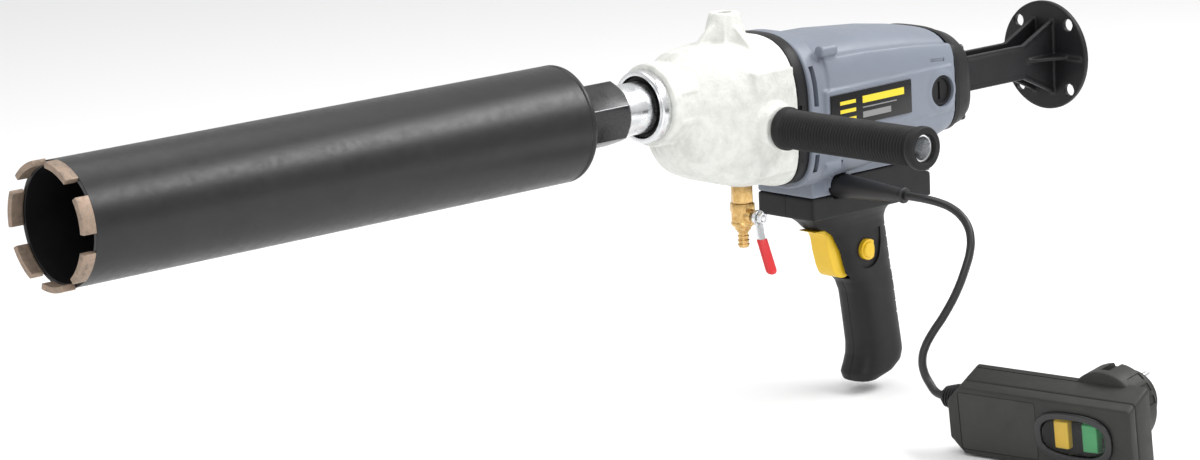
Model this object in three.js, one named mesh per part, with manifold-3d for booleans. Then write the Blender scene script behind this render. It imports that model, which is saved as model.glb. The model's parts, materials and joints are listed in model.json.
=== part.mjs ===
// Hand-held diamond core drill: core bit, two-stage gearbox, universal motor, pistol grip,
// side handle, breast plate, water valve and a mains lead with a safety plug.
// Millimetres, +Z up. The bit points along -X and the operator stands at +X.
import * as THREE from 'three';
import { mergeVertices } from 'three/addons/utils/BufferGeometryUtils.js';
import Module from 'manifold-3d';

const wasm = await Module();
wasm.setup();

// ---------------------------------------------------------------- driving dimensions
// Everything below is measured in the spindle frame: the spindle turns about the X axis and
// x = 0 is the front end of the bit's steel tube. The last group moves the frame's origin
// to the middle of the pistol grip.
const GRIP_ORIGIN = { x: 692, z: -165 };
const FIT = 0.3;                       // gap between pieces that touch on the real tool

const BIT = {
  diameter: 82, tubeDiameter: 80, wall: 3.2, length: 404.5,
  segments: 7, segmentArc: 24, segmentHeight: 10, segmentWall: 4, firstSegment: 163.8,
};
const HUB = { acrossFlats: 40.5, rear: 452, bore: 15, corner: 160 };
const SPINDLE = { thread: 14.4, collar: 18, collarRear: 477.6, journal: 12.4, rear: 558, water: 4 };

const MOTOR_AXIS = { y: 0, z: -21 };
const MODULE = 1;
const TEETH = { armature: 9, intermediate: 33, pinion: 10, spindle: 40 };
const CENTRES = {
  motor: (MODULE * (TEETH.armature + TEETH.intermediate)) / 2,
  spindle: (MODULE * (TEETH.pinion + TEETH.spindle)) / 2,
};
const IDLER_AXIS = idlerAxis();

const CASTING = { noseFront: 484.5, noseRadius: 29, rear: 583, boss: 560, bossTop: 55, wall: 4.5 };
const FLANGE = { front: 583.3, rear: 592.7 };
const HOUSING = { front: 593, rear: 742, cavity: 42 };
const COVER = { front: 742.3, rear: 762 };
const BRUSH = { x: 725, z: -20.6, capRadius: 11, ringRadius: 14.5, face: 49.5 };
const ARM = { front: 762.3, disc: 887, discThickness: 4.6, discRadius: 41, z: -21.9, holeOffset: 24.5 };
const HANDLE = { x: 560, z: -21.5, root: 54, length: 136, radius: 13.7, tube: 9.5 };
const BASE = { front: 612, rear: 732, halfWidth: 28, bottom: -100.4 };
const BOOT = { x: 638, z: -77.5, tip: 94, baseRadius: 8.8, tipRadius: 4.6 };
const VALVE = { x: 570, top: -69, body: -82, bottom: -114, stemReach: 17 };
const CORD_DIAMETER = 5.8;
const PLUG = {
  x: 603.5, y: -172.6, z: -213.8, heading: -82, lean: 6,
  length: 147, thickness: 26, frontHalf: 24, backTop: 33, backBottom: -26, chamfer: 11,
  gland: { length: 15, y: 4, z: 9 },
  round: { x: 112, z: 11.5, radius: 28.5 },
};

// Route of the mains lead from the boot's tip to the plug's gland, points chosen by hand.
const CORD_ROUTE = [
  [638.0, -94.3, -77.5], [638.0, -104, -77.5], [638.2, -114, -77.8], [639.8, -125, -79.3],
  [641.2, -134.5, -82.0],
  [642.2, -142.5, -86.8], [642.0, -149, -93.6], [639.6, -153.5, -101.6], [635.9, -155.8, -109.6],
  [631.6, -156.3, -118.0], [623.8, -154.0, -135.1], [615.6, -148, -152.6], [609.8, -143, -163.6],
  [606.4, -139.5, -172.5], [604.9, -137.6, -181.0], [604.8, -138.6, -190.0], [605.6, -143.4, -198.6],
  [604.9, -149.8, -203.4], [604.35, -156.6, -204.4],
];

// ---------------------------------------------------------------- materials
const material = (color, roughness, metalness) => new THREE.MeshStandardMaterial(
  { color, roughness, metalness },
);
const CAST = material(0xdedfdb, 0.6, 0.1);
const BLUE_GREY = material(0x8c94a5, 0.45, 0);
const BLACK_PLASTIC = material(0x323234, 0.5, 0);
const RUBBER = material(0x2a2a2b, 0.75, 0);
const SATIN_BLACK = material(0x1e1e1f, 0.35, 0.2);
const BRONZE = material(0x96806a, 0.5, 0.6);
const BRIGHT_STEEL = material(0xd4d6d8, 0.18, 1);
const STEEL = material(0x9a9da0, 0.35, 1);
const BRASS = material(0xbe965a, 0.3, 1);
const COPPER = material(0xb0703c, 0.35, 1);
const YELLOW = material(0xebc33c, 0.45, 0);
const RED = material(0xd73c3c, 0.4, 0);
const GREEN = material(0x3c9a55, 0.4, 0);
const PLUG_GREY = material(0x4b4d49, 0.6, 0);
const CLEAR = material(0xdfe4e4, 0.1, 0);
const CARBON = material(0x222222, 0.8, 0);

// ---------------------------------------------------------------- geometry helpers
const radians = THREE.MathUtils.degToRad;

function idlerAxis() {
  const down = -MOTOR_AXIS.z;
  const z = (CENTRES.motor ** 2 - CENTRES.spindle ** 2 - down ** 2) / (2 * down);
  return { y: Math.sqrt(CENTRES.spindle ** 2 - z ** 2), z };
}

// A closed geometry with merged corners, its faces turned to point outwards.
function closed(geometry) {
  const bare = geometry.index ? geometry.clone() : geometry;
  bare.deleteAttribute('normal');
  bare.deleteAttribute('uv');
  const merged = mergeVertices(bare, 1e-4);
  const index = Array.from(merged.index.array);
  const at = merged.attributes.position;
  const corner = (i) => new THREE.Vector3().fromBufferAttribute(at, index[i]);
  const kept = [];
  let volume = 0;
  for (let i = 0; i < index.length; i += 3) {
    const [a, b, c] = [index[i], index[i + 1], index[i + 2]];
    if (a !== b && b !== c && c !== a) {
      kept.push(a, b, c);
      volume += corner(i).dot(corner(i + 1).cross(corner(i + 2)));
    }
  }
  merged.setIndex(volume < 0 ? kept.reverse() : kept);
  return merged;
}

function toManifold(geometry) {
  const { attributes, index } = closed(geometry);
  return new wasm.Manifold(new wasm.Mesh({
    numProp: 3,
    vertProperties: new Float32Array(attributes.position.array),
    triVerts: new Uint32Array(index.array),
  }));
}

function fromManifold(solid) {
  const { vertProperties, triVerts } = solid.getMesh();
  const geometry = new THREE.BufferGeometry();
  geometry.setAttribute('position', new THREE.BufferAttribute(vertProperties, 3));
  geometry.setIndex(new THREE.BufferAttribute(triVerts, 1));
  return geometry;
}

const join = (...parts) => fromManifold(parts.map(toManifold).reduce((a, b) => a.add(b)));
const cut = (whole, ...tools) => fromManifold(
  tools.map(toManifold).reduce((a, b) => a.subtract(b), toManifold(whole)),
);
const common = (a, b) => fromManifold(toManifold(a).intersect(toManifold(b)));

function box(x0, x1, y0, y1, z0, z1) {
  const geometry = new THREE.BoxGeometry(x1 - x0, y1 - y0, z1 - z0);
  return geometry.translate((x0 + x1) / 2, (y0 + y1) / 2, (z0 + z1) / 2);
}

// Turns a shape drawn about the Y axis so that its own +Y points along the named axis.
const TURN = {
  '+x': (g) => g.rotateZ(-Math.PI / 2),
  '-y': (g) => g.rotateX(Math.PI),
  '+y': (g) => g,
  '+z': (g) => g.rotateX(Math.PI / 2),
  '-z': (g) => g.rotateX(-Math.PI / 2),
};

// Solid of revolution. The profile is [radius, distance along the axis] pairs. One that starts
// and ends on the axis is solid, any other closes on itself as a ring.
function turned(profile, segments = 24, axis = '+x') {
  const points = profile.map(([radius, along]) => new THREE.Vector2(radius, along));
  const solid = profile[0][0] === 0 && profile[profile.length - 1][0] === 0;
  if (!solid) {
    points.push(points[0].clone());
  }
  return TURN[axis](closed(new THREE.LatheGeometry(points, segments)));
}

const ring = (inner, outer, from, to, segments = 20, axis = '+x') => turned(
  [[inner, from], [outer, from], [outer, to], [inner, to]], segments, axis,
);
const rod = (radius, from, to, segments = 24, axis = '+x') => turned(
  [[0, from], [radius, from], [radius, to], [0, to]], segments, axis,
);

function extrude(points, depth, holes = []) {
  const shape = new THREE.Shape(points.map(([a, b]) => new THREE.Vector2(a, b)));
  shape.holes = holes;
  return new THREE.ExtrudeGeometry(shape, { depth, bevelEnabled: false, curveSegments: 12 });
}

// An extrusion drawn in (y, z): its own x goes to y, its y to z, and its depth to x, from x = x0.
function alongX(geometry, x0) {
  return geometry.applyMatrix4(new THREE.Matrix4().set(0, 0, 1, x0, 1, 0, 0, 0, 0, 1, 0, 0, 0, 0, 0, 1));
}

// Moves what is drawn about the X axis to another axis along X.
const aboutAxis = (geometry, axis) => geometry.translate(0, axis.y, axis.z);

// Plate drawn in side view (x, z), from y = y0 to y = y1.
const sidePlate = (points, y0, y1) => extrude(points, y1 - y0).rotateX(Math.PI / 2).translate(0, y1, 0);
// Plate drawn in plan view (x, y), from z = z0 to z = z1.
const planPlate = (points, z0, z1) => extrude(points, z1 - z0).translate(0, 0, z0);

// Closed solid through a list of rings that all have the same number of points.
function loft(rings) {
  const count = rings[0].length;
  const points = rings.flat();
  const faces = [];
  for (let r = 0; r + 1 < rings.length; r += 1) {
    for (let i = 0; i < count; i += 1) {
      const a = r * count + i;
      const b = r * count + ((i + 1) % count);
      faces.push(a, b, b + count, a, b + count, a + count);
    }
  }
  const ends = [[rings[0], 0, false], [rings[rings.length - 1], (rings.length - 1) * count, true]];
  ends.forEach(([rim, first, last]) => {
    const middle = rim.reduce((sum, p) => sum.add(p), new THREE.Vector3()).divideScalar(count);
    const centre = points.push(middle) - 1;
    for (let i = 0; i < count; i += 1) {
      const a = first + i;
      const b = first + ((i + 1) % count);
      faces.push(...(last ? [centre, a, b] : [centre, b, a]));
    }
  });
  const geometry = new THREE.BufferGeometry().setFromPoints(points);
  geometry.setIndex(faces);
  return closed(geometry);
}

// Rounded-box outline: power 2 is an ellipse, and a higher power is squarer. The lower half may
// have a power of its own.
function superellipse(halfA, halfB, upper, count, lower = upper) {
  return Array.from({ length: count }, (_, i) => {
    const angle = (i / count) * 2 * Math.PI;
    const [c, s] = [Math.cos(angle), Math.sin(angle)];
    const power = s > 0 ? upper : lower;
    return [
      halfA * Math.sign(c) * Math.abs(c) ** (2 / power),
      halfB * Math.sign(s) * Math.abs(s) ** (2 / power),
    ];
  });
}

// Sections across the drill's length: [x, half width, top, bottom, upper power, lower power].
function lengthways(sections, inset = 0, count = 28) {
  return loft(sections.map(([x, halfWidth, top, bottom, upper, lower]) => superellipse(
    halfWidth - inset, (top - bottom) / 2 - inset, upper, count, lower,
  ).map(([y, z]) => new THREE.Vector3(x, y, z + (top + bottom) / 2))));
}

// Sections down the grip: [z, front x, rear x, half width, power].
function upright(sections, inset = 0, count = 22) {
  return loft(sections.map(([z, front, rear, halfWidth, power]) => superellipse(
    (rear - front) / 2 - inset, halfWidth - inset, power, count,
  ).map(([x, y]) => new THREE.Vector3(x + (front + rear) / 2, y, z))));
}

// ---------------------------------------------------------------- scene graph
const drill = new THREE.Group();
const spindleFrame = new THREE.Group();
spindleFrame.position.set(-GRIP_ORIGIN.x, 0, -GRIP_ORIGIN.z);
drill.add(spindleFrame);

const plug = new THREE.Group();
plug.position.set(PLUG.x, PLUG.y, PLUG.z);
plug.rotation.set(radians(PLUG.lean), 0, radians(PLUG.heading), 'ZYX');
spindleFrame.add(plug);

function place(name, geometry, look, parent = spindleFrame) {
  const mesh = new THREE.Mesh(closed(geometry), look);
  mesh.name = name;
  parent.add(mesh);
}

// ---------------------------------------------------------------- core bit
function coreBit() {
  const outer = BIT.tubeDiameter / 2;
  const inner = outer - BIT.wall;
  const bevel = 1.2;
  place('core_tube', turned(
    [
      [inner, 0], [outer, 0], [outer, BIT.length - bevel], [outer - bevel, BIT.length],
      [inner, BIT.length],
    ], 48,
  ), SATIN_BLACK);
  place('core_back_plate', ring(10, inner - FIT, BIT.length - 7, BIT.length - 1, 28), SATIN_BLACK);

  const tip = BIT.diameter / 2;
  const halfAngle = BIT.segmentArc / BIT.diameter;
  for (let k = 0; k < BIT.segments; k += 1) {
    const middle = radians(BIT.firstSegment) + (k * 2 * Math.PI) / BIT.segments;
    const sector = new THREE.Shape();
    sector.absarc(0, 0, tip, middle - halfAngle, middle + halfAngle, false);
    sector.absarc(0, 0, tip - BIT.segmentWall, middle + halfAngle, middle - halfAngle, true);
    const solid = new THREE.ExtrudeGeometry(sector, {
      depth: BIT.segmentHeight - FIT, bevelEnabled: false, curveSegments: 4,
    });
    place(`diamond_segment_${k + 1}`, alongX(solid, -BIT.segmentHeight), BRONZE);
  }

  const circumradius = HUB.acrossFlats / Math.sqrt(3);
  const front = BIT.length + FIT;
  const hexagon = new THREE.CylinderGeometry(circumradius, circumradius, HUB.rear - front, 6);
  hexagon.rotateZ(-Math.PI / 2).translate((front + HUB.rear) / 2, 0, 0);
  hexagon.rotateX(radians(HUB.corner - 90));
  const blank = turned([
    [0, front], [circumradius + 1, front], [circumradius + 1, HUB.rear - 5],
    [HUB.acrossFlats / 2 - 0.5, HUB.rear], [0, HUB.rear],
  ], 36);
  place('core_hub', cut(
    common(hexagon, blank),
    rod(HUB.bore, front + 6, HUB.rear + 1, 24),
    rod(8, front - 1, front + 7, 16),
  ), SATIN_BLACK);
}

// ---------------------------------------------------------------- gears
// Involute spur gear drawn about the origin, a gap or a tooth pointing along +X.
function gearOutline(teeth, backlash, toothFirst) {
  const pitch = (MODULE * teeth) / 2;
  const base = pitch * Math.cos(radians(20));
  const tip = pitch + 0.85 * MODULE;
  const root = pitch - 1.2 * MODULE;
  const involute = (r) => {
    const t = Math.sqrt(Math.max((r / base) ** 2 - 1, 0));
    return t - Math.atan(t);
  };
  const halfTooth = Math.PI / (2 * teeth) - backlash / (2 * pitch);
  const radii = teeth > 20 ? [root, tip] : [root, pitch, tip];
  const flank = radii.map((r) => [r, halfTooth + involute(pitch) - involute(r)]);
  const phase = toothFirst ? 0 : Math.PI / teeth;
  const points = [];
  for (let k = 0; k < teeth; k += 1) {
    const middle = phase + (2 * Math.PI * k) / teeth;
    const sides = [...flank.map(([r, a]) => [r, -a]), ...[...flank].reverse()];
    sides.forEach(([r, a]) => points.push([r * Math.cos(middle + a), r * Math.sin(middle + a)]));
  }
  return points;
}

// Gear about an axis along X: the direction of its first tooth or gap is turned to `facing`.
function gear(teeth, x0, x1, axis, facing, toothFirst, bore = 0) {
  const backlash = 0.3;
  const holes = bore > 0 ? [new THREE.Path().absarc(0, 0, bore, 0, 2 * Math.PI, true)] : [];
  const solid = extrude(gearOutline(teeth, backlash, toothFirst), x1 - x0, holes);
  return aboutAxis(alongX(solid.rotateZ(facing), x0), axis);
}

function gearTrain() {
  const toIdler = Math.atan2(IDLER_AXIS.z, IDLER_AXIS.y);
  const motorToIdler = Math.atan2(IDLER_AXIS.z - MOTOR_AXIS.z, IDLER_AXIS.y);
  const slow = { from: 522, to: 537 };
  const fast = { from: 565, to: 575 };

  place('spindle_shaft', turned([
    [SPINDLE.water, 412], [SPINDLE.thread, 412], [SPINDLE.thread, HUB.rear + FIT],
    [SPINDLE.collar, HUB.rear + FIT], [SPINDLE.collar, SPINDLE.collarRear],
    [SPINDLE.journal, SPINDLE.collarRear], [SPINDLE.journal, 519], [9, 519], [9, 541], [6, 541],
    [6, SPINDLE.rear], [SPINDLE.water, SPINDLE.rear],
  ], 24), BRIGHT_STEEL);
  place('spindle_gear', gear(
    TEETH.spindle, slow.from, slow.to, { y: 0, z: 0 }, toIdler, true, 9 + FIT,
  ), STEEL);
  place('spindle_front_bearing', ring(SPINDLE.journal + FIT, 21, 488, 499), BRIGHT_STEEL);
  place('spindle_rear_bearing', ring(6 + FIT, 13, 545, 553, 24), BRIGHT_STEEL);
  place('spindle_seal', ring(SPINDLE.journal + FIT, 21, SPINDLE.collarRear + FIT, 486.5), RUBBER);
  place('nose_ring', turned([
    [19.4, 476.2], [24.4, 476.2], [25.3, 477.4], [25.3, 484.2], [21.7, 484.2], [21.7, 477.6],
    [19.4, 477.6],
  ], 32), BRIGHT_STEEL);

  place('intermediate_pinion_shaft', join(
    gear(TEETH.pinion, slow.from - 2, slow.to + 2, IDLER_AXIS, toIdler + Math.PI, false),
    aboutAxis(rod(3.6, 510, 591), IDLER_AXIS),
  ), STEEL);
  place('intermediate_gear', gear(
    TEETH.intermediate, fast.from, fast.to, IDLER_AXIS, motorToIdler + Math.PI, true, 3.6 + FIT,
  ), STEEL);
  [['front', 511], ['rear', 584]].forEach(([end, x]) => {
    const bearing = aboutAxis(ring(3.6 + FIT, 7.5, x, x + 6, 20), IDLER_AXIS);
    place(`intermediate_${end}_bearing`, bearing, BRIGHT_STEEL);
  });
}

// ---------------------------------------------------------------- motor
function motor() {
  const facing = Math.atan2(IDLER_AXIS.z - MOTOR_AXIS.z, IDLER_AXIS.y);
  const laminations = { from: 632, to: 694 };
  const spin = (geometry) => aboutAxis(geometry, MOTOR_AXIS);

  place('armature_shaft', join(
    gear(TEETH.armature, 563, 580, MOTOR_AXIS, facing, false),
    spin(rod(4, 579, 751)),
  ), STEEL);
  place('armature_core', spin(ring(4 + FIT, 26, laminations.from, laminations.to, 24)), STEEL);
  place('commutator', spin(ring(4 + FIT, 14, 714, 734, 24)), COPPER);
  place('cooling_fan', coolingFan(), BLACK_PLASTIC);
  place('armature_front_bearing', spin(ring(4 + FIT, 10.4, 584, 591, 24)), BRIGHT_STEEL);
  place('armature_rear_bearing', spin(ring(4 + FIT, 9.5, 743, 750, 24)), BRIGHT_STEEL);
  place('field_core', spin(cut(
    ring(27.2, 40.5, laminations.from, laminations.to, 24),
    box(620, 700, -34, 34, -6, 6),
  )), STEEL);
}

function coolingFan() {
  const bladeCount = 11;
  const blades = Array.from({ length: bladeCount }, (_, k) => box(604, 617, 14, 37, -0.8, 0.8)
    .rotateX((2 * Math.PI * k) / bladeCount));
  const wheel = join(ring(4 + FIT, 16, 604, 617, 24), ring(8, 38, 617, 619, 24), ...blades);
  return aboutAxis(wheel, MOTOR_AXIS);
}

// ---------------------------------------------------------------- gearbox casting and flange
const CASTING_SECTIONS = [
  [503.5, 24, 27, -43, 2.1, 2.4], [506, 28.5, 29.5, -47, 2.2, 2.6], [511, 31.5, 33, -51.5, 2.3, 2.9],
  [518, 34.5, 34, -55.5, 2.4, 3.2], [530, 40, 34.8, -60, 2.5, 3.6], [543, 45.6, 35.2, -64, 2.6, 4],
  [CASTING.rear, 46.2, 36.6, -68.8, 2.7, 4.4],
];

function gearboxCasting() {
  const { boss, bossTop } = CASTING;
  const nose = rod(CASTING.noseRadius, CASTING.noseFront, 512, 36);
  const body = lengthways(CASTING_SECTIONS);
  const topBoss = turned([
    [0, 20], [16, 20], [14, 34], [10.6, bossTop - 1], [9.8, bossTop], [0, bossTop],
  ], 20, '+z').translate(boss, 0, 0);
  const gusset = sidePlate([[528, 30], [553, bossTop - 5], [567, bossTop - 5], [581, 30]], -3, 3);
  const sideBosses = [-1, 1].map((side) => turned(
    [[0, 38], [18, 38], [17, 47], [15, HANDLE.root], [0, HANDLE.root]], 24, side < 0 ? '-y' : '+y',
  ).translate(HANDLE.x, 0, HANDLE.z));
  const valveBoss = rod(11, VALVE.top + 0.5, -50, 20, '+z').translate(VALVE.x, 0, 0);
  const outside = join(body, nose, topBoss, gusset, ...sideBosses, valveBoss);

  const inside = lengthways(CASTING_SECTIONS.slice(1).map(
    ([x, ...rest], i, all) => [i === all.length - 1 ? x + 1 : x + 4, ...rest],
  ), CASTING.wall);
  const stud = (axis, from, to) => rod(5.2, from, to, 14, axis);
  place('gearbox_casting', cut(
    outside,
    inside,
    rod(21.6, CASTING.noseFront - 1, 500, 28),
    rod(SPINDLE.journal + 2, 499, 515, 20),
    stud('+z', 38, bossTop + 1).translate(boss, 0, 0),
    stud('+y', 43, HANDLE.root + 1).translate(HANDLE.x, 0, HANDLE.z),
    stud('-y', 43, HANDLE.root + 1).translate(HANDLE.x, 0, HANDLE.z),
    rod(5.2, VALVE.top - 5, -45, 16, '+z').translate(VALVE.x, 0, 0),
    aboutAxis(rod(7.5 + FIT, 509, 519, 24), IDLER_AXIS),
  ), CAST);

  const plate = lengthways([FLANGE.front, FLANGE.rear].map((x) => [x, 47, 36.9, -69.8, 2.7, 4.4]));
  place('flange_plate', cut(
    plate,
    aboutAxis(rod(10.4 + FIT, FLANGE.front - 1, FLANGE.rear + 1, 28), MOTOR_AXIS),
    aboutAxis(rod(7.5 + FIT, FLANGE.front - 1, FLANGE.rear + 1, 24), IDLER_AXIS),
  ), BLACK_PLASTIC);
}

// ---------------------------------------------------------------- motor housing
const HOUSING_SECTIONS = [
  [HOUSING.front, 49.5, 36, -74, 2.8, 4], [605, 49.5, 36, -74, 2.8, 4], [611, 50, 31.5, -72, 2.8, 4],
  [650, 49.5, 31, -70, 2.8, 4], [700, 48, 27, -65, 2.8, 4], [728, 47, 23, -60, 2.9, 4],
  [HOUSING.rear, 46, 20.5, -56, 3, 4],
];
// Side view of the joint between the blue housing's saddle and the grip's clamshell base.
const SPLIT_LINE = [[BASE.front, -84], [640, -84], [650, -72], [704, -72], [BASE.rear, -83]];

function motorHousing() {
  const barrel = lengthways(HOUSING_SECTIONS);
  const saddle = sidePlate([
    ...SPLIT_LINE.map(([x, z]) => [x, z + FIT]), [BASE.rear, -50], [BASE.front, -50],
  ], -BASE.halfWidth, BASE.halfWidth);
  const panels = [-1, 1].map((side) => planPlate([
    [605.5, side * 40], [605.5, side * 52], [738.5, side * 48], [738.5, side * 40],
  ], -36.5, -3.5));
  const rings = [-1, 1].map((side) => rod(BRUSH.ringRadius, 40, BRUSH.face, 24, side < 0 ? '-y' : '+y')
    .translate(BRUSH.x, 0, BRUSH.z));
  const socket = ring(BOOT.baseRadius + 0.8, BOOT.baseRadius + 3.8, 24, 30.5, 24, '-y')
    .translate(BOOT.x, 0, BOOT.z);
  const upperSocket = common(socket, box(600, 670, -40, 0, BOOT.z, -60));
  const outside = join(barrel, saddle, ...panels, ...rings, upperSocket);

  const cavity = aboutAxis(rod(HOUSING.cavity, HOUSING.front - 1, HOUSING.rear - 6, 28), MOTOR_AXIS);
  const rearOpening = aboutAxis(rod(30, HOUSING.rear - 7, HOUSING.rear + 1, 20), MOTOR_AXIS);
  const wiring = box(BASE.front + 4, BASE.rear - 4, -24, 24, -95, -50);
  const brushHoles = [-1, 1].map((side) => rod(BRUSH.capRadius + 0.5, 33, 60, 20, side < 0 ? '-y' : '+y')
    .translate(BRUSH.x, 0, BRUSH.z));
  const vents = [-1, 1].flatMap((side) => [[-13, 15], [-60, -46]].map(([low, high]) => {
    const [near, far] = side < 0 ? [-60, -30] : [30, 60];
    return box(596, 600.5, near, far, low, high);
  }));
  const bootHole = rod(BOOT.baseRadius + 0.6, 20, 32, 20, '-y').translate(BOOT.x, 0, BOOT.z);
  const openings = [cavity, rearOpening, wiring, bootHole, ...brushHoles, ...vents];
  place('motor_housing', cut(outside, ...openings), BLUE_GREY);

  [['left', '-y'], ['right', '+y']].forEach(([side, axis]) => {
    const [slotNear, slotFar] = side === 'left' ? [-50, -47] : [47, 50];
    place(`brush_cap_${side}`, cut(
      turned([
        [0, 44], [BRUSH.capRadius, 44], [BRUSH.capRadius, 47.6], [BRUSH.capRadius - 0.8, 48.4], [0, 48.4],
      ], 20, axis),
      box(-1.2, 1.2, slotNear, slotFar, -7, 7),
    ).translate(BRUSH.x, 0, BRUSH.z), BLACK_PLASTIC);
    const [near, far] = side === 'left' ? [-34, -14.6] : [14.6, 34];
    place(`carbon_brush_${side}`, aboutAxis(
      box(BRUSH.x - 5, BRUSH.x + 5, near, far, -3.5, 3.5), MOTOR_AXIS,
    ), CARBON);
  });

  // The badge lies in the slanted side panel's plane.
  const slope = (48 - 52) / (738.5 - 605.5);
  const panelAt = (x, lift) => [x, -(52 + slope * (x - 605.5)) - lift];
  place('label_plate', planPlate(
    [panelAt(609, FIT), panelAt(609, FIT + 0.8), panelAt(692, FIT + 0.8), panelAt(692, FIT)], -31, -7,
  ), BLACK_PLASTIC);

  const cover = lengthways([
    [COVER.front, 46, 20.5, -56, 3, 4], [755, 44.8, 17, -53, 3, 4], [COVER.rear, 42, 12, -49, 3, 3.8],
  ]);
  place('rear_cover', cut(
    cover,
    aboutAxis(rod(34, COVER.front - 1, 752, 24), MOTOR_AXIS),
    aboutAxis(rod(9.5 + FIT, 751, 756, 24), MOTOR_AXIS),
  ), BLACK_PLASTIC);
}

// ---------------------------------------------------------------- breast plate
function breastPlate() {
  const { z, disc } = ARM;
  const half = 13;
  const flare = 29;
  const back = disc + 1;
  const web = (inner, outer) => sidePlate([
    [ARM.front + 2, z - half], [853.5, z - half], [back, z - flare], [back, z + flare], [853.5, z + half],
    [ARM.front + 2, z + half],
  ], inner, outer);
  const bridge = box(ARM.front + 2, back, -8, 8, z - 1.5, z + 1.5);
  const fin = planPlate([[855, -9], [855, 9], [back, 26], [back, -26]], z - 1.5, z + 1.5);
  const pad = box(ARM.front, ARM.front + 5, -22, 22, z - 21, z + 21);
  const plate = rod(ARM.discRadius, disc, disc + ARM.discThickness, 36).translate(0, 0, z);
  const holes = [-1, 1].flatMap((a) => [-1, 1].map((b) => rod(4.5, disc - 1, disc + 8, 12)
    .translate(0, a * ARM.holeOffset, z + b * ARM.holeOffset)));
  const solid = join(web(-10.1, -7.4), web(7.4, 10.1), bridge, fin, pad, plate);
  place('breast_plate', cut(solid, ...holes), BLACK_PLASTIC);
}

// ---------------------------------------------------------------- pistol grip
// [z, front x, rear x, half width, power], from the clamshell base down to the toe.
const GRIP_SECTIONS = [
  [-96, 620, 714, 24, 4], [-102, 622, 709, 20, 3.4], [-107, 629, 705.5, 17.5, 3],
  [-112, 634, 704, 16.5, 2.9], [-118, 643, 704.3, 16.3, 2.9], [-131, 651, 705.8, 16.2, 3],
  [-148, 656, 708, 16, 3], [-156, 666, 709.2, 15.8, 3],
  [-165, 670, 710.4, 15.8, 3], [-185, 672.8, 713, 15.8, 3], [-205, 675.6, 715.8, 16.2, 3],
  [-213, 675.2, 716.6, 16.6, 3], [-220, 672.5, 714.5, 17, 2.8], [-226, 669.5, 706, 16.8, 2.6],
  [-231.5, 671, 689, 13, 2.4],
];
const TRIGGER_PROFILE = [
  [630.5, -113.2], [641, -116.5], [643.4, -120], [645.2, -131], [648.5, -143], [652, -149.5], [658, -151.5],
  [664, -150.5], [667, -146], [672, -130], [672, -118], [666, -113.2],
];
const LOCK = { x: 677.5, z: -132.5, radius: 7.6, outer: 19.4, inner: 13 };
const SWITCH = { front: 682, rear: 697, halfWidth: 7.5, top: -116, bottom: -150 };

function gripShells() {
  const base = sidePlate([
    [BASE.front, BASE.bottom], ...SPLIT_LINE, [BASE.rear, BASE.bottom],
  ], -BASE.halfWidth, BASE.halfWidth);
  const outside = join(upright(GRIP_SECTIONS), base);
  const wall = 3;
  const hollow = upright(GRIP_SECTIONS.slice(0, -2).map(
    ([z, ...rest], i) => [i === 0 ? z + 8 : z, ...rest],
  ), wall);
  const baseHollow = box(BASE.front + 4, BASE.rear - 4, -24, 24, BASE.bottom + 3.4, -60);
  const triggerSlot = box(628, 681.5, -10.5, 10.5, -152.5, -112.6);
  const lockHole = rod(LOCK.radius + 0.5, 5, 30, 18, '-y').translate(LOCK.x, 0, LOCK.z);
  const bootHole = rod(BOOT.baseRadius + 0.6, 20, 32, 20, '-y').translate(BOOT.x, 0, BOOT.z);
  const socketSeat = common(
    rod(BOOT.baseRadius + 4.2, 20, 32, 24, '-y').translate(BOOT.x, 0, BOOT.z),
    box(600, 670, -40, 0, BOOT.z - FIT, -60),
  );
  const body = cut(outside, hollow, baseHollow, triggerSlot, lockHole, bootHole, socketSeat);
  place('grip_shell_left', common(body, box(580, 760, -60, -FIT / 2, -260, -40)), BLACK_PLASTIC);
  place('grip_shell_right', common(body, box(580, 760, FIT / 2, 60, -260, -40)), BLACK_PLASTIC);
}

function gripControls() {
  place('trigger', join(
    sidePlate(TRIGGER_PROFILE, -9.8, 9.8),
    rod(3, 670, SWITCH.front + 6.5, 16).translate(0, 0, -131),
  ), YELLOW);
  place('switch_body', cut(
    box(SWITCH.front, SWITCH.rear, -SWITCH.halfWidth, SWITCH.halfWidth, SWITCH.bottom, SWITCH.top),
    rod(3.6, SWITCH.front - 1, SWITCH.rear - 2, 16).translate(0, 0, -131),
  ), BLACK_PLASTIC);
  place('lock_button', turned([
    [0, LOCK.inner], [LOCK.radius, LOCK.inner], [LOCK.radius, LOCK.outer - 1.2],
    [LOCK.radius - 1.2, LOCK.outer], [0, LOCK.outer],
  ], 16, '-y').translate(LOCK.x, 0, LOCK.z), YELLOW);
}

// ---------------------------------------------------------------- side handle
function sideHandle() {
  const { root, length, radius, tube, x, z } = HANDLE;
  const end = root + length;
  place('side_handle_tube', turned([
    [0, root - 9], [4.8, root - 9], [4.8, root + FIT], [12, root + FIT], [12, root + 3],
    [tube, root + 3],
    [tube, end - 3], [tube - 1.6, end - 3], [tube - 1.6, root + 10], [0, root + 10],
  ], 18, '-y').translate(x, 0, z), BRIGHT_STEEL);
  place('side_handle_grip', turned([
    [tube + FIT, root + 3 + FIT], [radius + 1.4, root + 3 + FIT], [radius + 1.4, root + 7],
    [radius, root + 9], [radius, end - 9], [radius + 1.2, end - 6], [radius + 1.2, end - 1],
    [radius, end], [tube + FIT, end],
  ], 20, '-y').translate(x, 0, z), RUBBER);
}

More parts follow.
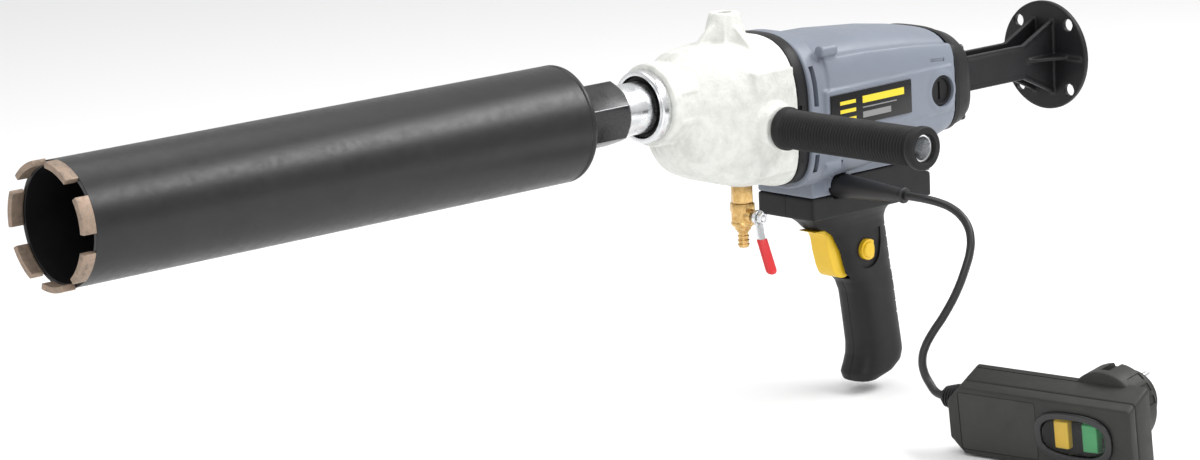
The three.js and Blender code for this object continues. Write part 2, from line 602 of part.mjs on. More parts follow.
// ---------------------------------------------------------------- water valve
function hexPrism(acrossFlats, from, to, bore) {
  const radius = acrossFlats / Math.sqrt(3);
  const prism = new THREE.CylinderGeometry(radius, radius, to - from, 6);
  prism.rotateX(Math.PI / 2).translate(0, 0, (from + to) / 2);
  return cut(prism, rod(bore, from - 1, to + 1, 12, '+z'));
}

function waterValve() {
  const { x, top, body, bottom, stemReach } = VALVE;
  const pivot = body - 9;
  const water = 2.6;
  const at = (geometry) => geometry.translate(x, 0, 0);
  place('valve_adapter', at(join(
    ring(water, 4.9, top - FIT - 1, -52, 12, '+z'),
    hexPrism(14, body + FIT, top - FIT, water),
  )), BRASS);
  const outside = join(
    hexPrism(16, body - 5, body, water),
    turned([
      [0, bottom], [3.4, bottom], [4.4, bottom + 3], [3.4, bottom + 3.2], [4.4, bottom + 7],
      [3.4, bottom + 7.2], [4, bottom + 11], [5.6, bottom + 13], [8, bottom + 15], [8, body - 4.5],
      [0, body - 4.5],
    ], 14, '+z'),
    rod(4.6, 0, 11, 14, '-y').translate(0, 0, pivot),
  );
  place('valve_body', at(cut(
    outside,
    rod(water, bottom - 1, body + 1, 12, '+z'),
    new THREE.SphereGeometry(5.9, 12, 8).translate(0, 0, pivot),
    rod(2.7, 0, 14, 12, '-y').translate(0, 0, pivot),
  )), BRASS);
  place('valve_ball_stem', at(cut(
    join(new THREE.SphereGeometry(5.4, 12, 8), rod(2.2, 0, stemReach + 4, 10, '-y')),
    rod(water, -8, 8, 12, '+z'),
  ).translate(0, 0, pivot)), BRIGHT_STEEL);

  const leverY = -stemReach;
  // Drawn in (y, z) as the lever's edge and swept across its width: it bends outwards below the stem.
  const strip = (points, halfWidth) => alongX(extrude(points, 2 * halfWidth), x - halfWidth);
  const bend = { y: leverY - 1.5, z: pivot - 12 };
  const toe = { y: leverY - 10.5, z: pivot - 36.5 };
  const lever = join(
    rod(5.6, -leverY - 2.4, -leverY, 16, '-y').translate(x, 0, pivot),
    strip([
      [leverY, pivot], [leverY + 2.2, pivot], [bend.y + 2.2, bend.z], [toe.y + 1.1, toe.z],
      [toe.y - 0.9, toe.z], [bend.y, bend.z],
    ], 3),
  );
  place('valve_lever', cut(lever, rod(2.2 + FIT, 10, 24, 12, '-y').translate(x, 0, pivot)), BRIGHT_STEEL);
  const along = (t, off) => [
    bend.y + (toe.y - bend.y) * t + off, bend.z + (toe.z - bend.z) * t,
  ];
  const sleeve = strip([
    along(0.12, 4.1), along(0.12, -2.1), along(1.07, -2.1), along(1.11, 0), along(1.07, 2.9),
  ], 4.4);
  place('lever_sleeve', cut(
    sleeve,
    strip([along(-0.2, 2.6), along(-0.2, -0.5), along(1.015, -1.4), along(1.015, 1.6)], 3.3),
  ), RED);
  const nutRadius = 4.4;
  const nut = new THREE.CylinderGeometry(nutRadius, nutRadius, 3, 6).translate(x, leverY - 2.6, pivot);
  place('lever_nut', cut(nut, rod(2.2 + FIT, 10, 26, 12, '-y').translate(x, 0, pivot)), BRIGHT_STEEL);
}

// ---------------------------------------------------------------- mains lead and safety plug
function mainsLead() {
  const { x, z, tip, baseRadius, tipRadius } = BOOT;
  place('cable_boot', turned([
    [0, 21], [baseRadius, 21], [baseRadius, 36], [tipRadius, tip - 3], [tipRadius + 1, tip - 2],
    [tipRadius + 1, tip - 0.6], [tipRadius, tip], [0, tip],
  ], 18, '-y').translate(x, 0, z), RUBBER);

  const points = CORD_ROUTE.map(([a, b, c]) => new THREE.Vector3(a, b, c));
  const route = new THREE.CatmullRomCurve3(points, false, 'centripetal');
  const section = new THREE.Shape().absarc(0, 0, CORD_DIAMETER / 2, 0, 2 * Math.PI, false);
  place('mains_cord', new THREE.ExtrudeGeometry(section, {
    steps: 24, bevelEnabled: false, extrudePath: route, curveSegments: 5,
  }), RUBBER);
}

// Plug frame: x from the cord's end to the far end, -y towards the buttons, +y towards the pins.
function safetyPlug() {
  const { length, thickness, frontHalf, backTop, backBottom, chamfer, gland, round } = PLUG;
  const front = -thickness / 2;
  const back = thickness / 2;
  const seam = front + 8;
  // The body grows taller from the face to the back, so each outline is worked out at its own depth.
  const outlineAt = (y, inset) => {
    const t = (y - front) / thickness;
    const top = frontHalf + (backTop - frontHalf) * t - inset;
    const bottom = -frontHalf + (backBottom + frontHalf) * t + inset;
    const end = length - inset;
    return [
      [inset, bottom + chamfer], [inset + chamfer, bottom], [end - 2, bottom], [end, bottom + 2],
      [end, top - 2], [end - 2, top], [inset + chamfer, top], [inset, top - chamfer],
    ].map(([a, b]) => new THREE.Vector3(a, y, b));
  };
  const body = (from, to, inset) => loft([outlineAt(from, inset), outlineAt(to, inset)]);

  const bezel = { x: 102, halfLength: 30.5, halfHeight: 17.5 };
  const oval = (inset, count, from, to) => sidePlate(superellipse(
    bezel.halfLength - inset, bezel.halfHeight - inset, 2.8, count,
  ).map(([a, b]) => [a + bezel.x, b]), from, to);
  place('plug_front_shell', cut(
    join(body(front, seam, 0), oval(0, 24, front - 2.6, front + 2)),
    body(front + 2.6, seam + 1, 2.6),
    oval(5, 20, front - 5, front + 4),
  ), PLUG_GREY, plug);

  const socket = join(
    turned([
      [0, back - 4], [round.radius, back - 4], [round.radius, back + 18],
      [round.radius - 3, back + 20], [0, back + 20],
    ], 28, '+y'),
    rod(19, back + 19, back + 34, 24, '+y'),
  ).translate(round.x, 0, round.z);
  const pinHole = (side) => rod(2.8, back + 12, back + 35, 10, '+y')
    .translate(round.x, 0, round.z + side * 9.5);
  place('plug_rear_shell', cut(
    join(body(seam + FIT, back, 0), socket),
    body(seam, back - 3, 2.6),
    pinHole(1),
    pinHole(-1),
  ), PLUG_GREY, plug);
  [1, -1].forEach((side, k) => {
    place(`plug_pin_${k + 1}`, turned([
      [0, back + 12.5], [2.4, back + 12.5], [2.4, back + 51.5], [1.4, back + 53], [0, back + 53],
    ], 12, '+y').translate(round.x, 0, round.z + side * 9.5), BRIGHT_STEEL, plug);
  });

  place('plug_window', oval(5 + FIT, 20, front - 1.6, front + 0.2), CLEAR, plug);
  const button = (x0, x1) => box(x0, x1, front + 1.4, front + 7, -9.4, 9.4);
  place('test_button', button(85.5, 96.5), YELLOW, plug);
  place('reset_button', button(107.5, 119), GREEN, plug);

  place('plug_cord_gland', turned([
    [0, -gland.length], [4.6, -gland.length], [5.4, -13.4], [7.6, -12.6], [7.6, -10],
    [6.2, -9.2], [8.8, -8.4], [8.8, -5.4], [7.2, -4.6], [9.8, -3.8], [9.8, -FIT], [0, -FIT],
  ], 16).translate(0, gland.y, gland.z), BLACK_PLASTIC, plug);
}

coreBit();
gearTrain();
motor();
gearboxCasting();
motorHousing();
breastPlate();
gripShells();
gripControls();
sideHandle();
waterValve();
mainsLead();
safetyPlug();

export default drill;
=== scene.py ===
"""Looks of a hand-held diamond core drill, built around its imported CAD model."""
import json
import math

import bmesh
import bpy
from mathutils import Matrix, Vector


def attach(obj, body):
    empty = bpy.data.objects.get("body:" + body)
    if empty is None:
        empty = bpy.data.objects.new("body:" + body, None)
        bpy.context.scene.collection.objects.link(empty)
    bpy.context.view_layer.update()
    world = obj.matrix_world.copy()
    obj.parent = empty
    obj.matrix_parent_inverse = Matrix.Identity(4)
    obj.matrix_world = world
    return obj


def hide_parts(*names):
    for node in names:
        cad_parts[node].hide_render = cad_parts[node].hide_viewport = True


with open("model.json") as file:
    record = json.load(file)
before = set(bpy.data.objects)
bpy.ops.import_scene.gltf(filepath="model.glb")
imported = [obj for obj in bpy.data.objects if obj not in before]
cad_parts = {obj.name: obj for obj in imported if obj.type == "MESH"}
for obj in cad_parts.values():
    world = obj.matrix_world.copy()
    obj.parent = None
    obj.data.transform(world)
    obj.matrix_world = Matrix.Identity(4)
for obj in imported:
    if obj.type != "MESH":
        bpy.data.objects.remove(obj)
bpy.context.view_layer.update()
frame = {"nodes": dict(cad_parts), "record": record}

# ---------------------------------------------------------------- frames and driving dimensions
# Shapes are drawn in millimetres in the spindle frame: X along the drill towards the operator with
# x = 0 at the front of the bit's tube, Y away from the side handle, Z up, the spindle on y = z = 0.
MM = 0.001
SPINDLE_FRAME = Matrix.Scale(MM, 4) @ Matrix.Translation((-692, 0, 165))
# The plug's own frame: x along it from the cord's end, -y out of its face, +y towards the pins.
PLUG_FRAME = (SPINDLE_FRAME @ Matrix.Translation((603.5, -172.6, -213.8))
              @ Matrix.Rotation(math.radians(-82), 4, "Z") @ Matrix.Rotation(math.radians(6), 4, "X"))
FLOOR = -240.6

TOP_BOSS_AT = (560, 0, 0)
HANDLE_AT = (560, 0, -21.5)
VALVE_AT = (570, 0, 0)
BRUSH_AT = (725, 0, -20.6)
BOOT_AT = (638, 0, -77.5)
MOTOR_AT = (0, 0, -21)
PLATE_Z = -21.9
STUD_HOLE = 5.2  # radius of the threaded holes in the casting
BRUSH_CAP, BRUSH_RING, BRUSH_FACE = 11, 14.5, 49.5
SEGMENT_COUNT = 7
CORD_DIAMETER = 5.8
CORD_ROUTE = [
    (638.0, -94.3, -77.5), (638.0, -104, -77.5), (638.2, -114, -77.8), (639.8, -125, -79.3),
    (641.2, -134.5, -82.0), (642.2, -142.5, -86.8), (642.0, -149, -93.6), (639.6, -153.5, -101.6),
    (635.9, -155.8, -109.6), (631.6, -156.3, -118.0), (623.8, -154.0, -135.1), (615.6, -148, -152.6),
    (609.8, -143, -163.6), (606.4, -139.5, -172.5), (604.9, -137.6, -181.0), (604.8, -138.6, -190.0),
    (605.6, -143.4, -198.6), (604.9, -149.8, -203.4), (604.35, -156.6, -204.4),
]

NODE_BODY = {n: b for b, ns in frame["record"]["behaviour"]["bodies"].items() for n in ns}
NODE_SLOT = {s["node"]: s["material_slot"] for s in frame["record"]["subparts"]}


# ---------------------------------------------------------------- camera, light and floor
def stage():
    camera_data = bpy.data.cameras.new("camera")
    camera_data.sensor_width = 36
    camera_data.lens = 120
    camera = bpy.data.objects.new("camera", camera_data)
    right = Vector((0.7453, -0.6651, -0.0465)).normalized()
    up = Vector((0.1687, 0.1207, 0.9783))
    up = (up - right * up.dot(right)).normalized()
    back = right.cross(up)
    camera.matrix_world = Matrix.Translation((-2.0147, -2.0094, 0.6375)) @ Matrix(
        (right, up, back)).transposed().to_4x4()
    bpy.context.scene.collection.objects.link(camera)
    bpy.context.scene.camera = camera

    def softbox(name, location, target, size, energy):
        data = bpy.data.lights.new(name, "AREA")
        data.shape = "RECTANGLE"
        data.size, data.size_y = size
        data.energy = energy
        light = bpy.data.objects.new(name, data)
        light.location = location
        light.rotation_euler = (Vector(target) - Vector(location)).to_track_quat("-Z", "Y").to_euler()
        bpy.context.scene.collection.objects.link(light)

    softbox("band", (0.85, -0.85, 1.4), (-0.45, 0, 0.16), (1.7, 0.55), 24)
    softbox("overhead", (-0.3, 0.3, 2.2), (-0.25, 0, 0.1), (2.6, 1.4), 20)
    softbox("key", (-1.7, -1.5, 1.3), (-0.1, 0, 0.1), (0.9, 0.9), 12)

    world = bpy.data.worlds.new("world")
    bpy.context.scene.world = world
    world.use_nodes = True
    sky = world.node_tree.nodes["Background"]
    sky.inputs["Color"].default_value = (1, 1, 1, 1)
    sky.inputs["Strength"].default_value = 0.72
    bpy.context.scene.view_settings.view_transform = "Standard"

    corners = [(-30, -30), (30, -30), (30, 30), (-30, 30)]
    mesh = bpy.data.meshes.new("floor")
    level = (FLOOR + 165) * MM
    mesh.from_pydata([(x, y, level) for x, y in corners], [], [(0, 1, 2, 3)])
    floor = bpy.data.objects.new("floor", mesh)
    bpy.context.scene.collection.objects.link(floor)
    paint = bpy.data.materials.new("floor_paint")
    paint.use_nodes = True
    surface = paint.node_tree.nodes["Principled BSDF"]
    surface.inputs["Base Color"].default_value = (0.93, 0.93, 0.93, 1)
    surface.inputs["Roughness"].default_value = 0.9
    surface.inputs["Specular IOR Level"].default_value = 0.1
    mesh.materials.append(paint)


# ---------------------------------------------------------------- material nodes
class Look:
    """A Principled material whose patterns are read in the object's own coordinates, in metres."""

    def __init__(self, name, color, roughness, metallic=0.0, **sockets):
        self.material = bpy.data.materials.new(name)
        self.material.use_nodes = True
        self.nodes = self.material.node_tree.nodes
        self.links = self.material.node_tree.links
        self.shader = self.nodes["Principled BSDF"]
        self.shader.inputs["Base Color"].default_value = (*color, 1)
        self.shader.inputs["Roughness"].default_value = roughness
        self.shader.inputs["Metallic"].default_value = metallic
        for socket, value in sockets.items():
            self.shader.inputs[socket.replace("_", " ")].default_value = value
        self.place = self.nodes.new("ShaderNodeTexCoord").outputs["Object"]
        self.relief = None

    def stretched(self, scale):
        node = self.nodes.new("ShaderNodeMapping")
        node.inputs["Scale"].default_value = scale
        self.links.new(self.place, node.inputs["Vector"])
        return node.outputs["Vector"]

    def noise(self, size_mm, detail=3, rough=0.5, place=None):
        node = self.nodes.new("ShaderNodeTexNoise")
        node.inputs["Scale"].default_value = 1 / (size_mm * MM)
        node.inputs["Detail"].default_value = detail
        node.inputs["Roughness"].default_value = rough
        self.links.new(place or self.place, node.inputs["Vector"])
        return node.outputs["Fac"]

    def cells(self, size_mm, feature="SMOOTH_F1", place=None):
        node = self.nodes.new("ShaderNodeTexVoronoi")
        node.feature = feature
        node.inputs["Scale"].default_value = 1 / (size_mm * MM)
        self.links.new(place or self.place, node.inputs["Vector"])
        return node.outputs["Distance"]

    def spread(self, value, low, high, to_low=0.0, to_high=1.0):
        node = self.nodes.new("ShaderNodeMapRange")
        node.inputs["From Min"].default_value = low
        node.inputs["From Max"].default_value = high
        node.inputs["To Min"].default_value = to_low
        node.inputs["To Max"].default_value = to_high
        self.links.new(value, node.inputs["Value"])
        return node.outputs["Result"]

    def colors(self, value, stops):
        node = self.nodes.new("ShaderNodeValToRGB")
        ramp = node.color_ramp
        while len(ramp.elements) < len(stops):
            ramp.elements.new(0.5)
        for element, (at, color) in zip(ramp.elements, stops):
            element.position = at
            element.color = (*color, 1)
        self.links.new(value, node.inputs["Fac"])
        self.links.new(node.outputs["Color"], self.shader.inputs["Base Color"])

    def worn(self, value, low, high, from_rough, to_rough):
        self.links.new(self.spread(value, low, high, from_rough, to_rough), self.shader.inputs["Roughness"])

    def bump(self, height, depth_mm, strength=1.0):
        node = self.nodes.new("ShaderNodeBump")
        node.inputs["Strength"].default_value = strength
        node.inputs["Distance"].default_value = depth_mm * MM
        self.links.new(height, node.inputs["Height"])
        if self.relief is not None:
            self.links.new(self.relief, node.inputs["Normal"])
        self.relief = node.outputs["Normal"]
        self.links.new(self.relief, self.shader.inputs["Normal"])
        return self


def hammered_paint():
    look = Look("cast_white", (0.70, 0.71, 0.67), 0.5, Specular_IOR_Level=0.6)
    look.colors(look.noise(9, 5, 0.6), [(0.3, (0.60, 0.61, 0.57)), (0.62, (0.74, 0.75, 0.71))])
    look.worn(look.noise(2.2, 3), 0.35, 0.65, 0.62, 0.36)
    look.bump(look.cells(1.7), 0.5, 0.55)
    return look.bump(look.noise(1.0, 4, 0.65), 0.22, 0.6).material


def satin_paint():
    look = Look("satin_black_paint", (0.009, 0.009, 0.010), 0.34, Specular_IOR_Level=0.45)
    look.colors(look.noise(30, 4, 0.6), [(0.3, (0.006, 0.006, 0.007)), (0.7, (0.011, 0.011, 0.012))])
    look.worn(look.noise(6, 5, 0.6), 0.3, 0.7, 0.30, 0.42)
    look.bump(look.noise(1.6, 3), 0.05, 0.35)
    return look.bump(look.cells(14, "F1"), 0.05, 0.08).material


def sintered_bronze():
    look = Look("bronze_segment", (0.32, 0.22, 0.16), 0.5, 0.55)
    look.colors(look.noise(5, 6, 0.7), [
        (0.25, (0.16, 0.13, 0.11)), (0.5, (0.33, 0.25, 0.19)), (0.75, (0.42, 0.29, 0.22))])
    look.worn(look.noise(1.5, 4), 0.3, 0.7, 0.38, 0.68)
    look.bump(look.cells(0.7, "F1"), 0.16, 0.5)
    return look.bump(look.noise(0.5, 5, 0.7), 0.12, 0.6).material


def moulded(name, color, rough, grain_mm=0.8, depth_mm=0.06, lift=1.25, **sockets):
    look = Look(name, color, rough, **sockets)
    pale = tuple(min(1, c * lift) for c in color)
    look.colors(look.noise(40, 4, 0.6), [(0.3, color), (0.75, pale)])
    look.worn(look.noise(12, 5, 0.65), 0.3, 0.7, rough - 0.06, rough + 0.08)
    look.bump(look.noise(grain_mm, 3, 0.6), depth_mm, 0.55)
    return look.bump(look.cells(grain_mm * 1.6, "F1"), depth_mm * 0.7, 0.3).material


def turned_metal(name, color, rough, groove_mm=0.35, depth_mm=0.02, stretch=(1, 0.04, 0.04)):
    """Metal with fine tool marks: the pattern is stretched round the X axis."""
    look = Look(name, color, rough, 1.0)
    marks = look.noise(groove_mm, 4, 0.6, look.stretched(stretch))
    look.worn(look.noise(7, 4), 0.3, 0.7, rough - 0.04, rough + 0.1)
    return look.bump(marks, depth_mm, 0.5).material


def cast_brass():
    look = Look("brass", (0.72, 0.46, 0.17), 0.3, 1.0)
    look.colors(look.noise(4, 5, 0.6), [(0.3, (0.55, 0.33, 0.11)), (0.65, (0.80, 0.55, 0.24))])
    look.worn(look.noise(2.5, 4), 0.3, 0.7, 0.22, 0.42)
    return look.bump(look.noise(0.7, 4, 0.6), 0.08, 0.5).material


def laminated_steel():
    look = Look("steel", (0.42, 0.42, 0.43), 0.35, 1.0)
    look.worn(look.noise(3, 4), 0.3, 0.7, 0.28, 0.5)
    return look.bump(look.noise(0.6, 2, 0.5, look.stretched((1, 0.02, 0.02))), 0.05, 0.6).material


def clear_cover():
    look = Look("clear_plastic", (1, 1, 1), 0.03, Transmission_Weight=1.0, IOR=1.25)
    look.worn(look.noise(8, 4), 0.3, 0.7, 0.01, 0.05)
    return look.bump(look.noise(3, 2), 0.01, 0.15).material


def materials():
    rubber = dict(grain_mm=0.5, depth_mm=0.05, lift=1.4, Specular_IOR_Level=0.3)
    return {
        "cast_white": hammered_paint(),
        "satin_black_paint": satin_paint(),
        "bronze_segment": sintered_bronze(),
        "blue_grey_plastic": moulded("blue_grey_plastic", (0.185, 0.208, 0.252), 0.42, 0.9, 0.05, 1.1),
        "black_plastic": moulded(
            "black_plastic", (0.008, 0.008, 0.009), 0.46, 0.7, 0.07, Specular_IOR_Level=0.3),
        "label_black": moulded("label_black", (0.004, 0.004, 0.005), 0.3, 2.0, 0.01, Specular_IOR_Level=0.3),
        "black_rubber": moulded("black_rubber", (0.007, 0.007, 0.007), 0.55, **rubber),
        "plug_grey_plastic": moulded(
            "plug_grey_plastic", (0.021, 0.022, 0.019), 0.5, 0.8, 0.09, 1.25, Specular_IOR_Level=0.35),
        "yellow_plastic": moulded("yellow_plastic", (0.78, 0.50, 0.02), 0.38, 0.8, 0.03, 1.08),
        "red_plastic": moulded("red_plastic", (0.62, 0.025, 0.03), 0.33, 1.5, 0.03, 1.1),
        "green_plastic": moulded("green_plastic", (0.03, 0.33, 0.10), 0.35, 1.0, 0.03, 1.1),
        "carbon": moulded("carbon", (0.02, 0.02, 0.02), 0.7, 0.5, 0.08),
        "bright_steel": turned_metal("bright_steel", (0.76, 0.77, 0.78), 0.24),
        "copper": turned_metal("copper", (0.70, 0.36, 0.20), 0.3),
        "steel": laminated_steel(),
        "brass": cast_brass(),
        "clear_plastic": clear_cover(),
    }


LOOKS = materials()
GLOSSY_BLACK = moulded("glossy_black", (0.010, 0.010, 0.011), 0.16, 3.0, 0.01)
HUB_BLACK = moulded("hub_black", (0.010, 0.010, 0.011), 0.27, 1.2, 0.02)
WORN_EDGE = turned_metal("worn_edge", (0.30, 0.30, 0.31), 0.32)
BADGE_YELLOW = moulded("badge_yellow", (0.75, 0.60, 0.02), 0.35, 1.5, 0.01, 1.05)
BADGE_GREY = moulded("badge_grey", (0.22, 0.22, 0.22), 0.35, 1.5, 0.01, 1.05)
PANEL_BLACK = moulded("panel_black", (0.020, 0.020, 0.018), 0.55, 1.5, 0.04)
SCREW_BLACK = turned_metal("screw_black", (0.10, 0.10, 0.11), 0.38)


# ---------------------------------------------------------------- shapes: (points, faces) in millimetres
AXES = {
    "+x": lambda a, u, v: (a, u, v),
    "+y": lambda a, u, v: (v, a, u),
    "-y": lambda a, u, v: (u, -a, v),
    "+z": lambda a, u, v: (u, v, a),
}


def moved(shape, x=0.0, y=0.0, z=0.0):
    points, faces = shape
    return [(a + x, b + y, c + z) for a, b, c in points], faces


def turned_about(shape, angle, axis, centre=(0, 0, 0)):
    matrix = (Matrix.Translation(centre) @ Matrix.Rotation(math.radians(angle), 4, axis)
              @ Matrix.Translation(-Vector(centre)))
    return [tuple(matrix @ Vector(p)) for p in shape[0]], shape[1]


def merged(*shapes):
    points, faces = [], []
    for more_points, more_faces in shapes:
        start = len(points)
        points += more_points
        faces += [tuple(i + start for i in face) for face in more_faces]
    return points, faces


def soften(outline, reach, steps=4, closed=False):
    """Rounds an outline's corners. An open one keeps its two ends."""
    result = []
    last = len(outline) - 1
    for i, corner in enumerate(outline):
        if not closed and i in (0, last):
            result.append(tuple(corner))
            continue
        corner = Vector(corner)
        before = Vector(outline[i - 1]) - corner
        after = Vector(outline[(i + 1) % len(outline)]) - corner
        start = corner + before.normalized() * min(reach, before.length * 0.45)
        end = corner + after.normalized() * min(reach, after.length * 0.45)
        for k in range(steps + 1):
            t = k / steps
            result.append(tuple(start * (1 - t) ** 2 + corner * 2 * t * (1 - t) + end * t * t))
    return result


def lathe(profile, count=72, axis="+x", at=(0, 0, 0)):
    """Solid of revolution from (radius, distance) pairs. One that does not start and end on the
    axis closes on itself as a ring."""
    solid = profile[0][0] == 0 and profile[-1][0] == 0
    points, rows, faces = [], [], []
    for radius, along in profile:
        steps = 1 if radius == 0 else count
        rows.append(range(len(points), len(points) + steps))
        for i in range(steps):
            angle = 2 * math.pi * i / count
            points.append(AXES[axis](along, radius * math.cos(angle), radius * math.sin(angle)))
    pairs = list(zip(rows, rows[1:]))
    if not solid:
        pairs.append((rows[-1], rows[0]))
    for a, b in pairs:
        for i in range(count):
            j = (i + 1) % count
            corners = [a[i % len(a)], a[j % len(a)], b[j % len(b)], b[i % len(b)]]
            faces.append(tuple(dict.fromkeys(corners)))
    return moved((points, faces), *at)


def rod(radius, low, high, axis="+x", at=(0, 0, 0), count=48, edge=0.0):
    profile = [(0, low), (radius, low), (radius, high), (0, high)]
    return lathe(soften(profile, edge) if edge else profile, count, axis, at)


def prism(outline, low, high, axis="+y"):
    """An outline drawn in (x, z) for +y, in (x, y) for +z or in (y, z) for +x, made solid along it."""
    put = {
        "+y": lambda a, b, d: (a, d, b),
        "+z": lambda a, b, d: (a, b, d),
        "+x": lambda a, b, d: (d, a, b),
    }[axis]
    count = len(outline)
    points = [put(a, b, low) for a, b in outline] + [put(a, b, high) for a, b in outline]
    faces = [tuple(range(count)), tuple(range(2 * count - 1, count - 1, -1))]
    faces += [(i, (i + 1) % count, (i + 1) % count + count, i + count) for i in range(count)]
    return points, faces


def box(x0, x1, y0, y1, z0, z1):
    return prism([(x0, y0), (x1, y0), (x1, y1), (x0, y1)], z0, z1, "+z")


def loft(rings):
    count = len(rings[0])
    points = [p for ring in rings for p in ring]
    last = len(points) - count
    faces = [tuple(range(count)), tuple(range(len(points) - 1, last - 1, -1))]
    for r in range(len(rings) - 1):
        for i in range(count):
            a = r * count + i
            b = r * count + (i + 1) % count
            faces.append((a, b, b + count, a + count))
    return points, faces


def superellipse(half_a, half_b, upper, count, lower=None):
    """Rounded-box outline: power 2 is an ellipse, and a higher power is squarer."""
    outline = []
    for i in range(count):
        angle = 2 * math.pi * i / count
        c, s = math.cos(angle), math.sin(angle)
        power = upper if s > 0 or lower is None else lower
        outline.append((math.copysign(half_a * abs(c) ** (2 / power), c),
                        math.copysign(half_b * abs(s) ** (2 / power), s)))
    return outline


def lengthways(sections, inset=0.0, count=96):
    """Sections across the drill: (x, half width, top, bottom, upper power, lower power)."""
    return loft([
        [(x, y, z + (top + bottom) / 2)
         for y, z in superellipse(half - inset, (top - bottom) / 2 - inset, upper, count, lower)]
        for x, half, top, bottom, upper, lower in sections])


def upright(sections, inset=0.0, count=72):
    """Sections down the grip: (z, front x, rear x, half width, power)."""
    return loft([
        [(x + (front + rear) / 2, y, z)
         for x, y in superellipse((rear - front) / 2 - inset, half - inset, power, count)]
        for z, front, rear, half, power in sections])


# ---------------------------------------------------------------- objects
def shaded(obj, angle):
    """Smooth shading that keeps edges sharper than the angle, in degrees."""
    obj.data.shade_smooth()
    obj.data.set_sharp_from_angle(angle=math.radians(angle))
    return obj


def new_object(name, shape, matrix=SPINDLE_FRAME):
    mesh = bpy.data.meshes.new(name)
    mesh.from_pydata(shape[0], [], shape[1])
    mesh.transform(matrix)
    work = bmesh.new()
    work.from_mesh(mesh)
    bmesh.ops.remove_doubles(work, verts=work.verts, dist=1e-7)
    bmesh.ops.recalc_face_normals(work, faces=work.faces)
    work.to_mesh(mesh)
    work.free()
    obj = bpy.data.objects.new(name, mesh)
    bpy.context.scene.collection.objects.link(obj)
    return obj


def bake(obj):
    """Applies an object's modifiers to its mesh."""
    graph = bpy.context.evaluated_depsgraph_get()
    graph.update()
    mesh = bpy.data.meshes.new_from_object(obj.evaluated_get(graph))
    obj.modifiers.clear()
    obj.data = mesh
    return obj


def combine(obj, other, operation):
    """Joins another object to this one (UNION) or cuts it out (DIFFERENCE), and uses it up."""
    modifier = obj.modifiers.new("combine", "BOOLEAN")
    modifier.operation = operation
    modifier.solver = "EXACT"
    modifier.object = other
    bake(obj)
    bpy.data.objects.remove(other)
    return obj


def carve(obj, *cutters, matrix=SPINDLE_FRAME):
    """Cuts closed shapes out of an object, one after another."""
    for shape in cutters:
        combine(obj, new_object("cutter", shape, matrix), "DIFFERENCE")
    return obj


def melt(obj, voxel_mm, rounds, factor=0.5):
    """Turns overlapping solids into one skin with soft fillets, as a casting or moulding has."""
    remesh = obj.modifiers.new("remesh", "REMESH")
    remesh.mode = "VOXEL"
    remesh.voxel_size = voxel_mm * MM
    bake(obj)
    smooth = obj.modifiers.new("smooth", "SMOOTH")
    smooth.factor = factor
    smooth.iterations = rounds
    bake(obj)
    obj.data.shade_smooth()
    return obj


def edged(obj, width_mm, segments=2, angle=30, edge_look=None):
    """Rounds an object's sharp edges. The rounding may have its own material."""
    bevel = obj.modifiers.new("bevel", "BEVEL")
    bevel.width = width_mm * MM
    bevel.segments = segments
    bevel.limit_method = "ANGLE"
    bevel.angle_limit = math.radians(angle)
    bevel.use_clamp_overlap = True
    bevel.miter_outer = "MITER_ARC"
    if edge_look is not None:
        obj.data.materials.append(edge_look)
        bevel.material = 1
    bake(obj)
    shaded(obj, 50)
    return obj


def finish_piece(obj, node, look=None, replaces=True, body=None, name=None):
    """Gives a piece its material, chosen by its node's slot, and its body, and lets it stand for its CAD
    node.
    """
    slot = NODE_SLOT[node]
    if not obj.data.materials:
        obj.data.materials.append(look or LOOKS[slot])
    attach(obj, body or NODE_BODY[node])
    if replaces:
        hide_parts(node)
    obj.name = name or f"{node}_look"
    return obj


def plain_copy(node):
    """A new object with the CAD node's shape, its doubled corners and flat triangles merged."""
    mesh = frame["nodes"][node].data.copy()
    mesh.materials.clear()
    work = bmesh.new()
    work.from_mesh(mesh)
    bmesh.ops.remove_doubles(work, verts=work.verts, dist=1e-6)
    bmesh.ops.dissolve_limit(
        work, angle_limit=math.radians(1), verts=work.verts, edges=work.edges)
    work.to_mesh(mesh)
    work.free()
    obj = bpy.data.objects.new(node, mesh)
    bpy.context.scene.collection.objects.link(obj)
    return obj


def refined(node, width_mm, look=None, edge_look=None, segments=2):
    obj = plain_copy(node)
    obj.data.materials.append(look or LOOKS[NODE_SLOT[node]])
    return finish_piece(edged(obj, width_mm, segments, edge_look=edge_look), node)


# ---------------------------------------------------------------- mains lead, made first
def mains_lead():
    curve = bpy.data.curves.new("mains_lead", "CURVE")
    curve.dimensions = "3D"
    curve.bevel_depth = CORD_DIAMETER / 2 * MM
    curve.bevel_resolution = 8
    curve.resolution_u = 10
    curve.use_fill_caps = True
    spline = curve.splines.new("BEZIER")
    spline.bezier_points.add(len(CORD_ROUTE) - 1)
    for point, at in zip(spline.bezier_points, CORD_ROUTE):
        point.co = SPINDLE_FRAME @ Vector(at)
        point.handle_left_type = "AUTO"
        point.handle_right_type = "AUTO"
    lead = bpy.data.objects.new("mains_lead", curve)
    bpy.context.scene.collection.objects.link(lead)
    curve.materials.append(moulded("lead_jacket", (0.013, 0.013, 0.014), 0.36, 0.9, 0.03))
    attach(lead, "housing")
    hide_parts("mains_cord")
    return lead


